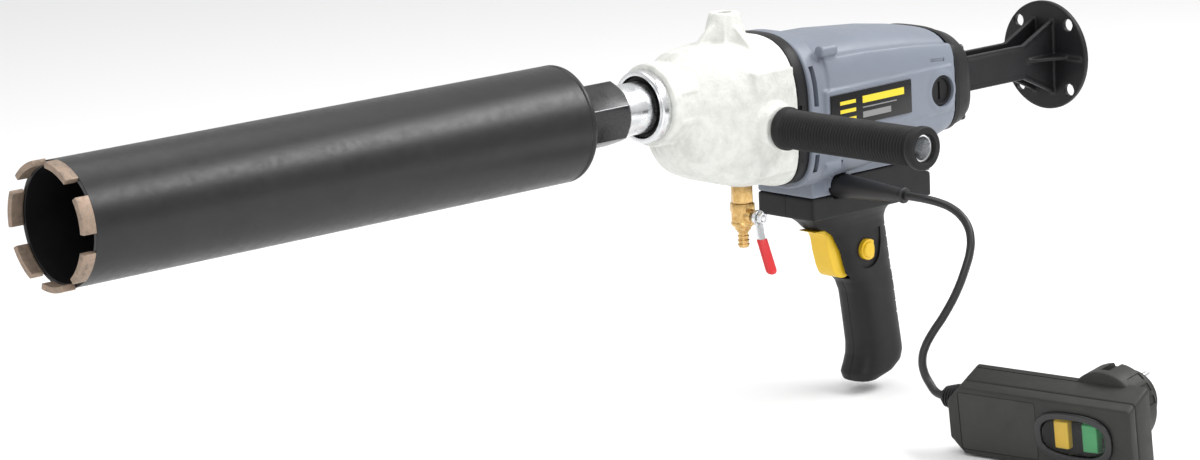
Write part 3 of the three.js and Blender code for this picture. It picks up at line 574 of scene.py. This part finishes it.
# ---------------------------------------------------------------- core bit and spindle
def core_bit():
    inner = 36.8
    tube = [
        (inner, 0.3), (inner + 0.4, 0), (39.7, 0), (40, 0.35), (40, 398.4), (39.5, 398.9), (39.45, 399.6),
        (40, 400.3), (40.0, 402.2), (39.6, 403.4), (38.6, 404.2), (37.4, 404.5), (inner, 404.5),
    ]
    obj = new_object("tube", lathe(tube, 192))
    shaded(obj, 40)
    finish_piece(obj, "core_tube")
    refined("core_back_plate", 0.4)
    refined("core_hub", 0.7, HUB_BLACK, WORN_EDGE)

    outer, thick, height = 41, 4, 10
    half = 24 / 82
    gap = 0.3
    for k in range(SEGMENT_COUNT):
        middle = math.radians(163.8) + k * 2 * math.pi / SEGMENT_COUNT
        steps = 10
        # Section of a segment (radius, x): its crown is worn round, and a step runs round its foot.
        section = soften([
            (outer, -gap), (outer, -height), (outer - thick, -height), (outer - thick, -gap - 1.5),
            (outer - thick + 0.8, -gap),
        ], 0.5, 3, closed=True)
        rings = []
        for s in range(steps + 1):
            a = middle - half + 2 * half * s / steps
            rings.append([(x, r * math.cos(a), r * math.sin(a)) for r, x in section])
        segment = new_object("segment", loft(rings))
        # A shallow groove across the crown, where the segment's two pressed halves meet.
        groove = box(-height - 1, -height + 0.7, outer - thick - 1, outer + 1, -0.5, 0.5)
        groove = turned_about(groove, math.degrees(middle) - 90, "X")
        carve(segment, groove)
        finish_piece(edged(segment, 0.3, 2, 40), f"diamond_segment_{k + 1}")

    shaft = soften([
        (4, 412), (14.4, 412), (14.4, 452.3), (18, 452.3), (18, 477.6), (12.4, 477.6), (12.4, 519),
        (9, 519), (9, 541), (6, 541), (6, 558), (4, 558)], 0.7, 4, closed=True)
    obj = new_object("shaft", lathe(shaft, 120))
    shaded(obj, 50)
    finish_piece(obj, "spindle_shaft")
    ring = soften([(21.7, 476.2), (24.4, 476.2), (25.3, 477.4), (25.3, 484.2), (21.7, 484.2)], 0.5, 3, True)
    finish_piece(smooth_turned("ring", ring, 120), "nose_ring")
    seal = soften([
        (12.7, 478.6), (14, 478), (17, 479.6), (20.6, 478), (21, 478.4), (21, 486.5), (12.7, 486.5)],
        0.5, 3, True)
    finish_piece(smooth_turned("seal", seal, 96), "spindle_seal")


def smooth_turned(name, profile, count=96, axis="+x", at=(0, 0, 0), matrix=SPINDLE_FRAME):
    return shaded(new_object(name, lathe(profile, count, axis, at), matrix), 45)


# ---------------------------------------------------------------- gearbox casting
CASTING_WALL = 4.5
CASTING_SECTIONS = [
    (503.5, 24, 27, -43, 2.1, 2.4), (506, 28.5, 29.5, -47, 2.2, 2.6), (511, 31.5, 33, -51.5, 2.3, 2.9),
    (518, 34.5, 34, -55.5, 2.4, 3.2), (530, 40, 34.8, -60, 2.5, 3.6), (543, 45.6, 35.2, -64, 2.6, 4),
    (583, 46.2, 36.6, -68.8, 2.7, 4.4),
]


def gearbox_casting():
    nose = lathe([
        (0, 484.5), (28.2, 484.5), (29, 485.6), (29, 491.5), (27.8, 492.2), (27.8, 505), (29.4, 506.5),
        (29.4, 514), (0, 514)], 96)
    ribs = []
    for k in range(8):
        rib = box(491, 509, -2.0, 2.0, 26, 29.2)
        ribs.append(turned_about(rib, 22.5 + 45 * k, "X"))
    lug = lengthways([
        (497, 10, -20, -32, 3, 3), (504, 12, -20, -45, 3, 3), (512, 15, -20, -50, 3, 3)], 0, 32)
    body = lengthways(CASTING_SECTIONS)
    # The machined rear flange stands a little proud of the hammered body.
    rear = lengthways([(577, 46.9, 37.1, -69.4, 2.7, 4.4), (583, 46.9, 37.1, -69.4, 2.7, 4.4)])
    flats = []
    for side in (1, -1):
        outline = [(544, side * 26), (580, side * 26), (580, side * 46.6), (544, side * 46.1)][::side]
        flats.append(prism(outline, -56, 18, "+z"))
    boss = lathe(
        [(0, 20), (17, 20), (14.6, 34), (11.6, 50), (10.8, 54), (10, 55), (0, 55)], 64, "+z", TOP_BOSS_AT)
    tower = loft([
        [(TOP_BOSS_AT[0] + sx * w, sy * w, z) for sx, sy in ((-1, -1), (1, -1), (1, 1), (-1, 1))]
        for z, w in ((26, 13.5), (40, 10.6), (51, 8.6))])
    gussets = [prism([(524, 28), (551, 51), (569, 51), (583, 30), (583, 20), (524, 20)], -2.4, 2.4)]
    gussets.append(turned_about(
        prism([(528, 28), (551, 49), (569, 49), (592, 28)], -2.4, 2.4), 90, "Z", TOP_BOSS_AT))
    side = [lathe([(0, 38), (19, 38), (17.4, 47), (15.6, 53), (15, 54), (0, 54)], 64, axis,
                  HANDLE_AT) for axis in ("-y", "+y")]
    under = rod(11.4, -69, -50, "+z", VALVE_AT, 48, 0.8)
    casting = new_object("casting", merged(
        body, nose, lug, rear, boss, tower, under, *ribs, *flats, *gussets, *side))
    melt(casting, 0.8, 1)
    # The hollow starts behind the front wall and runs out through the open rear.
    rear_x = CASTING_SECTIONS[-1][0]
    inside = lengthways([
        (x + (1 if x == rear_x else 4), *rest) for x, *rest in CASTING_SECTIONS[1:]], CASTING_WALL, 48)
    carve(casting, inside)
    carve(casting, rod(21.6, 480, 500))
    carve(casting, rod(14.4, 499.3, 515.3, count=60))
    for axis, at, low, high in (
            ("+z", TOP_BOSS_AT, 38, 60), ("-y", HANDLE_AT, 43, 60), ("+y", HANDLE_AT, 43, 60),
            ("+z", VALVE_AT, -80, -45.3)):
        carve(casting, rod(STUD_HOLE, low, high, axis, at, 34))
    melt(casting, 0.75, 3)
    finish_piece(casting, "gearbox_casting")


def bolt(name, at, axis="+x", radius=3.0, depth=2.6, node="gearbox_casting"):
    """Socket-head screw: a low cylinder with a hexagonal hole, its back face at the given point."""
    head = new_object(name, rod(radius, 0, depth, axis, at, 32, 0.5))
    key = [(radius * 0.5 * math.cos(a * math.pi / 3), radius * 0.5 * math.sin(a * math.pi / 3))
           for a in range(6)]
    carve(head, moved(prism(key, depth * 0.45, depth + 1, axis), *at))
    shaded(head, 40)
    return finish_piece(head, node, SCREW_BLACK, replaces=False, body="housing", name=name)


def flange_plate():
    notches = []
    for side in (-1, 1):
        for z, tall in ((24, 5), (8, 3), (-12, 3), (-34, 4), (-50, 3), (-61, 3)):
            near, far = sorted((side * 45.2, side * 50))
            notches.append(box(582, 588.4 if tall > 3 else 586.5, near, far, z - tall / 2, z + tall / 2))
    plate = new_object("flange", lengthways([(x, 47, 36.9, -69.8, 2.7, 4.4) for x in (583.3, 592.7)]))
    bearing_seats = [rod(10.7, 580, 596, at=MOTOR_AT), rod(7.8, 580, 596, at=(0, 20.09, -14.88))]
    carve(plate, *notches, *bearing_seats)
    finish_piece(edged(plate, 0.5, 2, 35), "flange_plate")


# ---------------------------------------------------------------- motor housing and rear cover
HOUSING_SECTIONS = [
    (611, 50, 31.5, -72, 2.8, 4), (650, 49.5, 31, -70, 2.8, 4), (700, 48, 27, -65, 2.8, 4),
    (728, 47, 23, -60, 2.9, 4), (742, 46, 20.5, -56, 3, 4),
]
SPLIT_LINE = [(612, -84), (640, -84), (650, -72), (704, -72), (732, -83)]


def motor_housing():
    # The body steps in above a soft shoulder line, and the collar in front keeps the full width.
    body = lengthways([(x, half - 1.8, *rest) for x, half, *rest in HOUSING_SECTIONS])
    collar = lengthways([
        (593, 49.5, 36, -74, 2.8, 4), (606, 49.5, 36, -74, 2.8, 4), (611, 49.6, 33, -72.5, 2.8, 4)])
    lower = loft([
        [(x, y, min(z + (top + bottom) / 2, crease))
         for y, z in superellipse(half, (top - bottom) / 2, 4, 96)]
        for (x, half, top, bottom, *_), crease in zip(HOUSING_SECTIONS, (19, 18.5, 15.5, 12.5, 11))])
    saddle = prism([(x, z + 0.3) for x, z in SPLIT_LINE] + [(732, -50), (612, -50)], -28, 28)
    panels = [prism(soften([
        (605.5, side * 40), (605.5, side * 52), (738.5, side * 48), (738.5, side * 40)], 2, 3, True),
        -36.5, -3.5, "+z") for side in (-1, 1)]
    rings = [rod(BRUSH_RING, 40, BRUSH_FACE, axis, BRUSH_AT, 64, 0.8) for axis in ("-y", "+y")]
    socket = lathe([(9.6, 24), (12.6, 24), (12.6, 30.5), (9.6, 30.5)], 64, "-y", BOOT_AT)
    columns = [rod(4.4, 606, 622, at=(0, side * 45, z)) for side in (-1, 1) for z in (24, -58)]
    housing = new_object("housing", merged(body, collar, lower, saddle, *panels, *rings, *columns))
    melt(housing, 0.9, 3)
    sockets = new_object("socket", socket)
    carve(sockets, box(600, 680, -60, 60, -120, BOOT_AT[2] - 0.2))
    vents = []
    for side in (-1, 1):
        near, far = sorted((side * 30, side * 60))
        for low, high in ((-13, 15), (-60, -47)):
            vents.append(box(596.2, 600.6, near, far, low, high))
        near, far = sorted((side * 45.4, side * 60))
        vents.append(turned_about(box(716, 731, near, far, 0.6, 3.0), 4, "Y", (724, 0, 2)))
        for z in (24, -58):
            vents.append(rod(3.2, 612, 625, at=(0, side * 46, z), count=24))
    holes = [rod(BRUSH_CAP + 0.4, 33, 60, axis, BRUSH_AT, 64) for axis in ("-y", "+y")]
    carve(
        housing, rod(42, 590, 736, at=MOTOR_AT, count=64), rod(30, 735, 745, at=MOTOR_AT),
        box(616, 728, -24, 24, -95, -50), rod(9.4, 20, 32, "-y", BOOT_AT),
    )
    combine(housing, sockets, "UNION")
    melt(housing, 0.75, 2)
    carve(housing, *holes, *vents)
    shaded(housing, 40)
    finish_piece(housing, "motor_housing")

    for side, axis in (("left", "-y"), ("right", "+y")):
        # The cap sits deep in its ring, with a raised rim, a recessed face and a screwdriver slot.
        cap = smooth_turned("cap", soften([
            (0, 43), (BRUSH_CAP, 43), (BRUSH_CAP, 47), (10.4, 47.6), (9.2, 47.6), (8.6, 45.4), (0, 45.4)],
            0.3, 3), 64,
            axis, BRUSH_AT)
        near, far = (-50, -44.2) if side == "left" else (44.2, 50)
        carve(cap, moved(box(-1.1, 1.1, near, far, -6.5, 6.5), *BRUSH_AT))
        shaded(cap, 40)
        finish_piece(cap, f"brush_cap_{side}")
        for k, z in enumerate((24, -58)):
            bolt(f"housing_screw_{side}_{k + 1}", (613.5, -45.6 if side == "left" else 45.6, z))


def badge():
    plate = plain_copy("label_plate")
    finish_piece(edged(plate, 0.25, 2), "label_plate")
    # Plain bars stand in for the lettering that the real badge carries.
    slope = (48 - 52) / (738.5 - 605.5)

    def bar(name, x0, x1, z0, z1, look):
        lift = 1.2
        corners = [(x, -(52 + slope * (x - 605.5)) - side) for x, side in
                   ((x0, 0.8), (x0, lift), (x1, lift), (x1, 0.8))]
        piece = new_object(name, prism(corners, z0, z1, "+z"))
        finish_piece(piece, "label_plate", look, replaces=False, name=name)

    bar("badge_bar_1", 641, 684, -16.5, -11.5, BADGE_YELLOW)
    bar("badge_bar_2", 641, 676, -20.0, -19.2, BADGE_GREY)
    bar("badge_bar_3", 641, 670, -27.0, -22.7, BADGE_GREY)
    bar("badge_bar_4", 618, 634, -27.0, -24.4, BADGE_YELLOW)
    bar("badge_bar_5", 618, 634, -21.0, -18.4, BADGE_YELLOW)
    bar("badge_bar_6", 618, 634, -15.0, -12.4, BADGE_YELLOW)


def rear_cover():
    cover = new_object("cover", lengthways([
        (742.3, 46, 20.5, -56, 3, 4), (746, 46.2, 20.6, -56, 3, 4), (747, 45.2, 19.4, -55, 3, 4),
        (756, 44.4, 17.0, -53, 3, 4), (761, 42.6, 13, -50, 3, 3.9), (762, 41.4, 11.5, -48.6, 3, 3.8)]))
    slots = []
    for side in (-1, 1):
        for k in range(5):
            near, far = sorted((side * 24, side * 37))
            slots.append(box(759.6, 764, near, far, -42 + 9 * k, -39 + 9 * k))
    carve(cover, rod(34, 740, 752, at=MOTOR_AT), rod(9.8, 751, 756, at=MOTOR_AT), *slots)
    finish_piece(edged(cover, 0.5, 2, 35), "rear_cover")
    for k, (y, z) in enumerate(((-33, 4), (33, 4), (-33, -46), (33, -46))):
        bolt(f"cover_screw_{k + 1}", (760.6, y, z), "+x", 2.8, 1.9, "rear_cover")


def breast_plate():
    z, half, flare = PLATE_Z, 13, 29
    webs = []
    for side in (-1, 1):
        near, far = sorted((side * 7.4, side * 10.1))
        webs.append(prism([(764, z - half), (853.5, z - half), (888, z - flare), (888, z + flare),
                           (853.5, z + half), (764, z + half)], near, far))
        rim_near, rim_far = sorted((side * 9, side * 10.9))
        for s in (-1, 1):
            inner = z + s * (half - 2.2)
            outline = [(764, z + s * half), (853.5, z + s * half), (888, z + s * flare),
                       (888, z + s * (flare - 3)), (854.5, inner), (764, inner)]
            webs.append(prism(outline, rim_near, rim_far))
    bridge = box(764, 888, -8, 8, z - 1.5, z + 1.5)
    fin = prism([(855, -9), (855, 9), (888, 26), (888, -26)], z - 1.4, z + 1.4, "+z")
    square = soften([(-22, z - 21), (22, z - 21), (22, z + 21), (-22, z + 21)], 5, 4, True)
    pad = prism(square, 762.3, 767, "+x")
    disc = lathe(soften([(0, 887), (41, 887), (41, 891.6), (0, 891.6)], 0.8), 120, "+x", (0, 0, z))
    spoke = turned_about(box(885.4, 888.5, -1.3, 1.3, z - 38, z + 38), 90, "X", (887, 0, z))
    plate = new_object("plate", merged(*webs, bridge, fin, pad, disc, spoke))
    melt(plate, 0.7, 2)
    holes = [rod(4.5, 880, 900, at=(0, a * 24.5, z + b * 24.5), count=40) for a in (-1, 1) for b in (-1, 1)]
    pocket = lathe(
        soften([(29, 890.6), (38, 890.6), (38, 893), (29, 893)], 0.3, 2, True), 96, "+x", (0, 0, z))
    carve(plate, *holes, pocket)
    melt(plate, 0.6, 2)
    finish_piece(plate, "breast_plate")
    for k, (a, b) in enumerate(((-1, -1), (-1, 1), (1, -1), (1, 1))):
        bolt(f"arm_screw_{k + 1}", (766, a * 17, z + b * 16), "+x", 2.6, 2.0, "breast_plate")


# ---------------------------------------------------------------- pistol grip
GRIP_SECTIONS = [
    (-96, 620, 714, 24, 4), (-102, 622, 709, 20, 3.4), (-107, 629, 705.5, 17.5, 3),
    (-112, 634, 704, 16.5, 2.9), (-118, 643, 704.3, 16.3, 2.9), (-131, 651, 705.8, 16.2, 3),
    (-148, 656, 708, 16, 3), (-156, 666, 709.2, 15.8, 3), (-165, 670, 710.4, 15.8, 3),
    (-185, 672.8, 713, 15.8, 3), (-205, 675.6, 715.8, 16.2, 3), (-213, 675.2, 716.6, 16.6, 3),
    (-220, 672.5, 714.5, 17, 2.8), (-226, 669.5, 706, 16.8, 2.6), (-231.5, 671, 689, 13, 2.4),
]
LOCK = {"x": 677.5, "z": -132.5}


def grip_shells():
    base = prism([(612, -100.4), *SPLIT_LINE, (732, -100.4)], -28, 28)
    lip = prism(soften([(612, -100.4), (612, -98), (732, -98), (732, -100.4)], 0.6, 2, True), -28, 28)
    body = new_object("body", merged(upright(GRIP_SECTIONS), base, lip))
    melt(body, 0.9, 2)
    hollow = upright([(z + 8 if z == -96 else z, *rest) for z, *rest in GRIP_SECTIONS[:-2]], 3, 40)
    # Teardrop recess round the lock button, pointing up and back.
    tear = [(LOCK["x"] + 12.5 * math.cos(a), LOCK["z"] - 1 + 13 * math.sin(a))
            for a in (math.radians(v) for v in range(100, 351, 10))]
    tear = soften(tear + [(691.5, -127), (691.5, -117.5)], 1.5, 3, True)
    recesses = [prism(tear, *sorted((side * 14.3, side * 22))) for side in (-1, 1)]
    grooves = []
    for k in range(9):
        z = -119 - 8.2 * k
        rear = 704.3 + (z + 118) * -0.128
        grooves.append(prism(
            [(rear - 2, z - 0.9), (rear + 6, z - 2.6), (rear + 6, z + 2.6), (rear - 2, z + 0.9)], -9, 9))
        for side in (-1, 1):
            wing = prism([(rear - 7, z - 0.5), (rear + 2, z - 1.2), (rear + 2, z + 1.2), (rear - 7, z + 0.5)],
                         *sorted((side * 8, side * 20)))
            grooves.append(turned_about(wing, side * -14, "Z", (rear - 7, side * 15.2, 0)))
    carve(
        body, hollow, box(616, 728, -24, 24, -97, -60), box(628, 681.5, -10.5, 10.5, -152.5, -112.6),
        rod(9.4, 20, 32, "-y", BOOT_AT),
    )
    seat = new_object("seat", rod(13, 20, 32, "-y", BOOT_AT))
    carve(seat, box(600, 680, -60, 60, -120, BOOT_AT[2] - 0.3))
    combine(body, seat, "DIFFERENCE")
    melt(body, 0.75, 3)
    carve(body, *recesses, *grooves)
    carve(body, rod(8.1, 5, 30, "-y", (LOCK["x"], 0, LOCK["z"])))
    for side, keep in (("left", -1), ("right", 1)):
        half = body.copy()
        half.data = body.data.copy()
        bpy.context.scene.collection.objects.link(half)
        near, far = sorted((-keep * 60, keep * 0.16))
        carve(half, box(560, 800, near, far, -260, -40))
        shaded(half, 50)
        finish_piece(half, f"grip_shell_{side}")
    bpy.data.objects.remove(body)
    for k, (x, z) in enumerate(((620, -92), (724, -92), (697, -160), (690, -215))):
        face = 28 if z > -100 else 15.6
        bolt(f"grip_screw_{k + 1}", (x, face - 0.6, z), "+y", 3.0, 1.6, "grip_shell_right")


TRIGGER_PROFILE = [
    (630.5, -113.4), (641, -116.5), (643.4, -120), (645.2, -131), (648.5, -143), (652, -149.5),
    (658, -151.5), (664, -150.5), (667, -146), (672, -130), (672, -118), (666, -113.4),
]


def grip_controls():
    profile = soften(TRIGGER_PROFILE, 3.0, 4, True)
    shade = prism(profile, -8.6, 8.6)
    # The trigger's rear edge is wider, with a scalloped outline where the finger rests.
    wide = prism(soften([
        (655.5, -115), (660.5, -121), (658, -127), (662.5, -133), (660.5, -140), (663, -148), (666.6, -146),
        (671.6, -130), (671.6, -118), (666, -114)], 2.2, 4, True), -9.8, 9.8)
    trigger = new_object("trigger", merged(shade, wide, rod(3, 668, 688.5, at=(0, 0, -131), count=32)))
    melt(trigger, 0.45, 4)
    finish_piece(trigger, "trigger")

    x, z = LOCK["x"], LOCK["z"]
    button = new_object("button", rod(7.6, 13, 17.4, "-y", (x, 0, z), 64, 0.5))
    carve(button, box(x + 4.6, x + 10, -30, 0, z - 10, z + 10))
    dome = soften([(0, 15), (5.6, 15), (5.6, 19.4), (0, 19.4)], 1.6, 4)
    raised = new_object("raised", lathe(dome, 48, "-y", (x - 0.8, 0, z)))
    carve(raised, box(x + 3.2, x + 10, -30, 0, z - 10, z + 10))
    combine(button, raised, "UNION")
    finish_piece(edged(button, 0.35, 2), "lock_button")
    refined("switch_body", 0.5)


# ---------------------------------------------------------------- side handle
def side_handle():
    tube = soften([
        (0, 45), (4.8, 45), (4.8, 54.3), (12, 54.3), (12, 57), (9.5, 57), (9.5, 187), (7.9, 187), (7.9, 64),
        (0, 64)], 0.3, 2)
    finish_piece(smooth_turned("tube", tube, 64, "-y", HANDLE_AT), "side_handle_tube")

    start, end, pitch, radius = 64.5, 181.5, 2.75, 13.7
    profile = [(9.8, 57.3), (14.6, 57.3), (15.1, 58), (15.1, 60.8), (14.4, 62.2), (13.0, 63.4)]
    rings = int((end - start) / pitch)
    for k in range(rings):
        y = start + k * pitch
        profile += [
            (radius - 1.9, y), (radius - 1.5, y + 0.14 * pitch), (radius - 0.2, y + 0.34 * pitch),
            (radius, y + 0.5 * pitch), (radius - 0.2, y + 0.66 * pitch), (radius - 1.5, y + 0.86 * pitch)]
    profile += [
        (radius - 1.9, end), (radius - 0.6, 182.6), (14.4, 184), (14.9, 185), (14.9, 188.6), (14.3, 189.7),
        (13.4, 190), (10.3, 190), (9.8, 189.5)]
    finish_piece(smooth_turned("grip", profile, 96, "-y", HANDLE_AT), "side_handle_grip")


# ---------------------------------------------------------------- water valve
def hexagon(across_flats, low, high, x, edge=0.5):
    """Hexagonal prism about a vertical axis, its six corners rounded off."""
    radius = across_flats / math.sqrt(3)
    outline = [(x + radius * math.cos(k * math.pi / 3), radius * math.sin(k * math.pi / 3)) for k in range(6)]
    return prism(soften(outline, edge, 2, True), low, high, "+z")


def water_valve():
    x, pivot = VALVE_AT[0], -91
    adapter = new_object("adapter", hexagon(14, -81.7, -69.3, x))
    carve(adapter, rod(2.6, -90, -60, "+z", (x, 0, 0), 24))
    pipe = [(2.6, -70.3), (4.9, -70.3), (4.9, -52.4), (4.5, -52), (2.6, -52)]
    stub = new_object("stub", lathe(pipe, 40, "+z", VALVE_AT))
    combine(adapter, stub, "UNION")
    finish_piece(edged(adapter, 0.35, 2), "valve_adapter")

    barbs = [
        (0, -114), (3.3, -114), (4.4, -111.6), (3.5, -111.4), (3.5, -110.6), (4.4, -108.6), (3.5, -108.4),
        (3.5, -107.6), (4.4, -105.6), (3.5, -105.4), (3.5, -103.6), (4.2, -102.6), (5.6, -101),
        (6.2, -99.4), (7.6, -98.2), (8, -97), (8, -86.5), (0, -86.5)]
    body = merged(
        lathe(barbs, 64, "+z", (x, 0, 0)),
        rod(4.9, 0, 11, "-y", (x, 0, pivot), 48, 0.4),
        rod(8.35, -97.6, -95.6, "+z", (x, 0, 0), 64, 0.6),
        lathe([(0, 0), (6, 0), (5.2, 8.6), (0, 8.6)], 48, "-y", (x, 0, pivot)),
    )
    valve = new_object("valve", body)
    melt(valve, 0.3, 1)
    nut = edged(new_object("nut", hexagon(16, -88.6, -82, x)), 0.4, 2)
    combine(valve, nut, "UNION")
    carve(valve, rod(2.6, -120, -78, "+z", (x, 0, 0), 24), rod(2.7, 0, 14, "-y", (x, 0, pivot), 24))
    ball = lathe([(5.9 * math.sin(a), -5.9 * math.cos(a)) if 0 < k < 16 else (0, -5.9 * math.cos(a))
                  for k, a in ((k, k * math.pi / 16) for k in range(17))], 32, "+z", (x, 0, pivot))
    carve(valve, ball)
    shaded(valve, 50)
    finish_piece(valve, "valve_body")

    refined("valve_ball_stem", 0.25)
    refined("lever_nut", 0.4)
    lever = plain_copy("valve_lever")
    finish_piece(edged(lever, 0.3, 2), "valve_lever")
    # The dipped sleeve widens towards its rounded toe. Rows: (share of the arm's length, half width,
    # inner face, outer face), measured from the arm's line.
    bend, toe = Vector((-18.5, pivot - 12)), Vector((-27.5, pivot - 36.5))
    rows = []
    for share, half, inner, outer in (
            (0.12, 3.5, -1.9, 3.6), (0.15, 3.9, -2.1, 4.0), (0.6, 4.1, -2.1, 3.6), (0.95, 4.4, -2.1, 3.2),
            (1.03, 4.2, -2.0, 3.0), (1.08, 3.2, -1.5, 2.3), (1.105, 1.6, -0.8, 1.4)):
        y, z = bend + (toe - bend) * share
        rows.append([(x + a, y + (inner + outer) / 2 + b, z)
                     for a, b in superellipse(half, (outer - inner) / 2, 2.6, 40)])
    sleeve = new_object("sleeve", loft(rows))
    carve(sleeve, prism([
        (bend.x + 3.2, bend.y + 2), (bend.x - 0.5, bend.y + 2), (toe.x - 1.1, toe.y - 0.3),
        (toe.x + 1.3, toe.y - 0.3)], x - 3.2, x + 3.2, "+x"))
    shaded(sleeve, 50)
    finish_piece(sleeve, "lever_sleeve")


# ---------------------------------------------------------------- cable boot and safety plug
def cable_boot():
    boot = soften([
        (0, 21), (8.8, 21), (8.8, 36), (7.2, 60), (4.9, 88.5), (4.7, 90.4), (5.5, 91.4), (5.7, 92.2),
        (5.6, 93.2), (4.8, 94), (0, 94)], 1.0, 4)
    finish_piece(smooth_turned("boot", boot, 72, "-y", BOOT_AT), "cable_boot",
                 moulded("boot_rubber", (0.014, 0.014, 0.015), 0.4, 0.9, 0.03))


PLUG = {"length": 147, "front": -13, "back": 13, "chamfer": 11, "seam": -5}
ROUND_AT = (112, 0, 11.5)  # axis of the plug's round body
ROUND_RADIUS = 28.5
PIN_SPREAD = 9.5


def plug_outline(y, inset=0.0):
    t = (y - PLUG["front"]) / (PLUG["back"] - PLUG["front"])
    top = 24 + 9 * t - inset
    bottom = -24 - 2 * t + inset
    end = PLUG["length"] - inset
    chamfer = PLUG["chamfer"]
    corners = [
        (inset, bottom + chamfer), (inset + chamfer, bottom), (end - 2, bottom), (end, bottom + 2),
        (end, top - 2), (end - 2, top), (inset + chamfer, top), (inset, top - chamfer)]
    return [(a, y, b) for a, b in corners]


def plug_oval(inset, low, high, count=72):
    outline = [(a + 102, b) for a, b in superellipse(30.5 - inset, 17.5 - inset, 2.8, count)]
    return prism(outline, low, high)


def safety_plug():
    front, back, seam = PLUG["front"], PLUG["back"], PLUG["seam"]
    shell = new_object("front", loft([plug_outline(front), plug_outline(seam)]), PLUG_FRAME)
    edged(shell, 1.2, 3, 35)
    recess = soften([(9, -20.5), (72, -20.5), (72, 20.5), (9, 20.5)], 2, 3, True)
    panel = prism(recess, front - 2, front + 0.5)
    carve(shell, panel, loft([plug_outline(front + 2.6, 2.6), plug_outline(seam + 1, 2.6)]),
          plug_oval(5, front - 5, front + 4), matrix=PLUG_FRAME)
    shaded(shell, 35)
    finish_piece(shell, "plug_front_shell")
    outline = soften([(9.5, -20), (71.5, -20), (71.5, 20), (9.5, 20)], 2, 3, True)
    sheet = new_object("panel", prism(outline, front + 0.15, front + 0.5), PLUG_FRAME)
    finish_piece(sheet, "plug_front_shell", PANEL_BLACK, replaces=False, name="plug_panel")

    bezel = new_object("bezel", plug_oval(0, front - 2.6, front + 1), PLUG_FRAME)
    carve(bezel, plug_oval(5, front - 6, front + 4), matrix=PLUG_FRAME)
    edged(bezel, 1.0, 4, 35)
    finish_piece(bezel, "plug_front_shell", GLOSSY_BLACK, replaces=False, name="plug_bezel")

    rear = new_object("rear", loft([plug_outline(seam + 0.3), plug_outline(back)]), PLUG_FRAME)
    edged(rear, 1.4, 3, 35)
    # A shallow step near the back edge of the top.
    groove = prism([(0, 34), (0, 28.6), (60, 28.6), (62, 27.4), (98, 27.4), (98, 34)], 8.2, 8.9)
    carve(rear, loft([plug_outline(seam, 2.6), plug_outline(back - 3, 2.6)]), groove, matrix=PLUG_FRAME)
    shaded(rear, 35)
    finish_piece(rear, "plug_rear_shell")

    collar = soften([
        (0, back - 4), (ROUND_RADIUS, back - 4), (ROUND_RADIUS, back + 18), (ROUND_RADIUS - 3, back + 20),
        (0, back + 20)], 1.6, 4)
    core = soften([(0, back + 18), (19, back + 18), (19, back + 34), (0, back + 34)], 1.4, 4)
    round_part = new_object("round", merged(
        lathe(collar, 96, "+y", ROUND_AT), lathe(core, 72, "+y", ROUND_AT)), PLUG_FRAME)
    melt(round_part, 0.8, 3)
    x, _, z = ROUND_AT
    notches = [box(x - 3.5, x + 3.5, back + 2, back + 40, z + s * 29 - 4, z + s * 29 + 4) for s in (-1, 1)]
    flute = box(x - 3, x + 3, back + 3, back + 17, z + 27.6, z + 32)
    flutes = [turned_about(flute, angle, "Y", ROUND_AT) for angle in (40, 58, 76, -40, -58, -76)]
    pin_holes = [rod(2.8, back + 12, back + 40, "+y", (x, 0, z + s * PIN_SPREAD), 24) for s in (-1, 1)]
    carve(round_part, *notches, *flutes, *pin_holes, matrix=PLUG_FRAME)
    shaded(round_part, 40)
    finish_piece(round_part, "plug_rear_shell", replaces=False, name="plug_round_body")
    for k, s in enumerate((1, -1)):
        pin = smooth_turned("pin", soften([
            (0, back + 12.5), (2.4, back + 12.5), (2.4, back + 50.6), (1.4, back + 53), (0, back + 53)],
            0.8, 4), 40, "+y", (x, 0, z + s * PIN_SPREAD), PLUG_FRAME)
        finish_piece(pin, f"plug_pin_{k + 1}")

    window = new_object("window", plug_oval(5.3, front - 1.6, front + 0.2), PLUG_FRAME)
    finish_piece(edged(window, 0.7, 3, 35), "plug_window")
    for node, x0, x1 in (("test_button", 85.5, 96.5), ("reset_button", 107.5, 119)):
        button = new_object("button", box(x0, x1, front + 1.4, front + 7, -9.4, 9.4), PLUG_FRAME)
        finish_piece(edged(button, 0.9, 3, 35), node)

    gland = [(0, -15), (4.4, -15), (5.2, -14), (5.6, -13)]
    for k in range(4):
        x = -12.4 + 2.6 * k
        swell = 7.4 + 0.7 * k
        gland += [(swell - 1.4, x), (swell, x + 0.5), (swell, x + 1.6), (swell - 1.4, x + 2.1)]
    gland += [(9.8, -1.8), (9.8, -0.3), (0, -0.3)]
    piece = smooth_turned("gland", soften(gland, 0.4, 3), 64, "+x", (0, 4, 9), PLUG_FRAME)
    finish_piece(piece, "plug_cord_gland")


# ---------------------------------------------------------------- assembly
stage()
lead = mains_lead()
core_bit()
gearbox_casting()
flange_plate()
motor_housing()
badge()
rear_cover()
breast_plate()
grip_shells()
grip_controls()
side_handle()
water_valve()
cable_boot()
safety_plug()

for node, obj in frame["nodes"].items():
    obj.data.materials.clear()
    obj.data.materials.append(LOOKS[NODE_SLOT[node]])
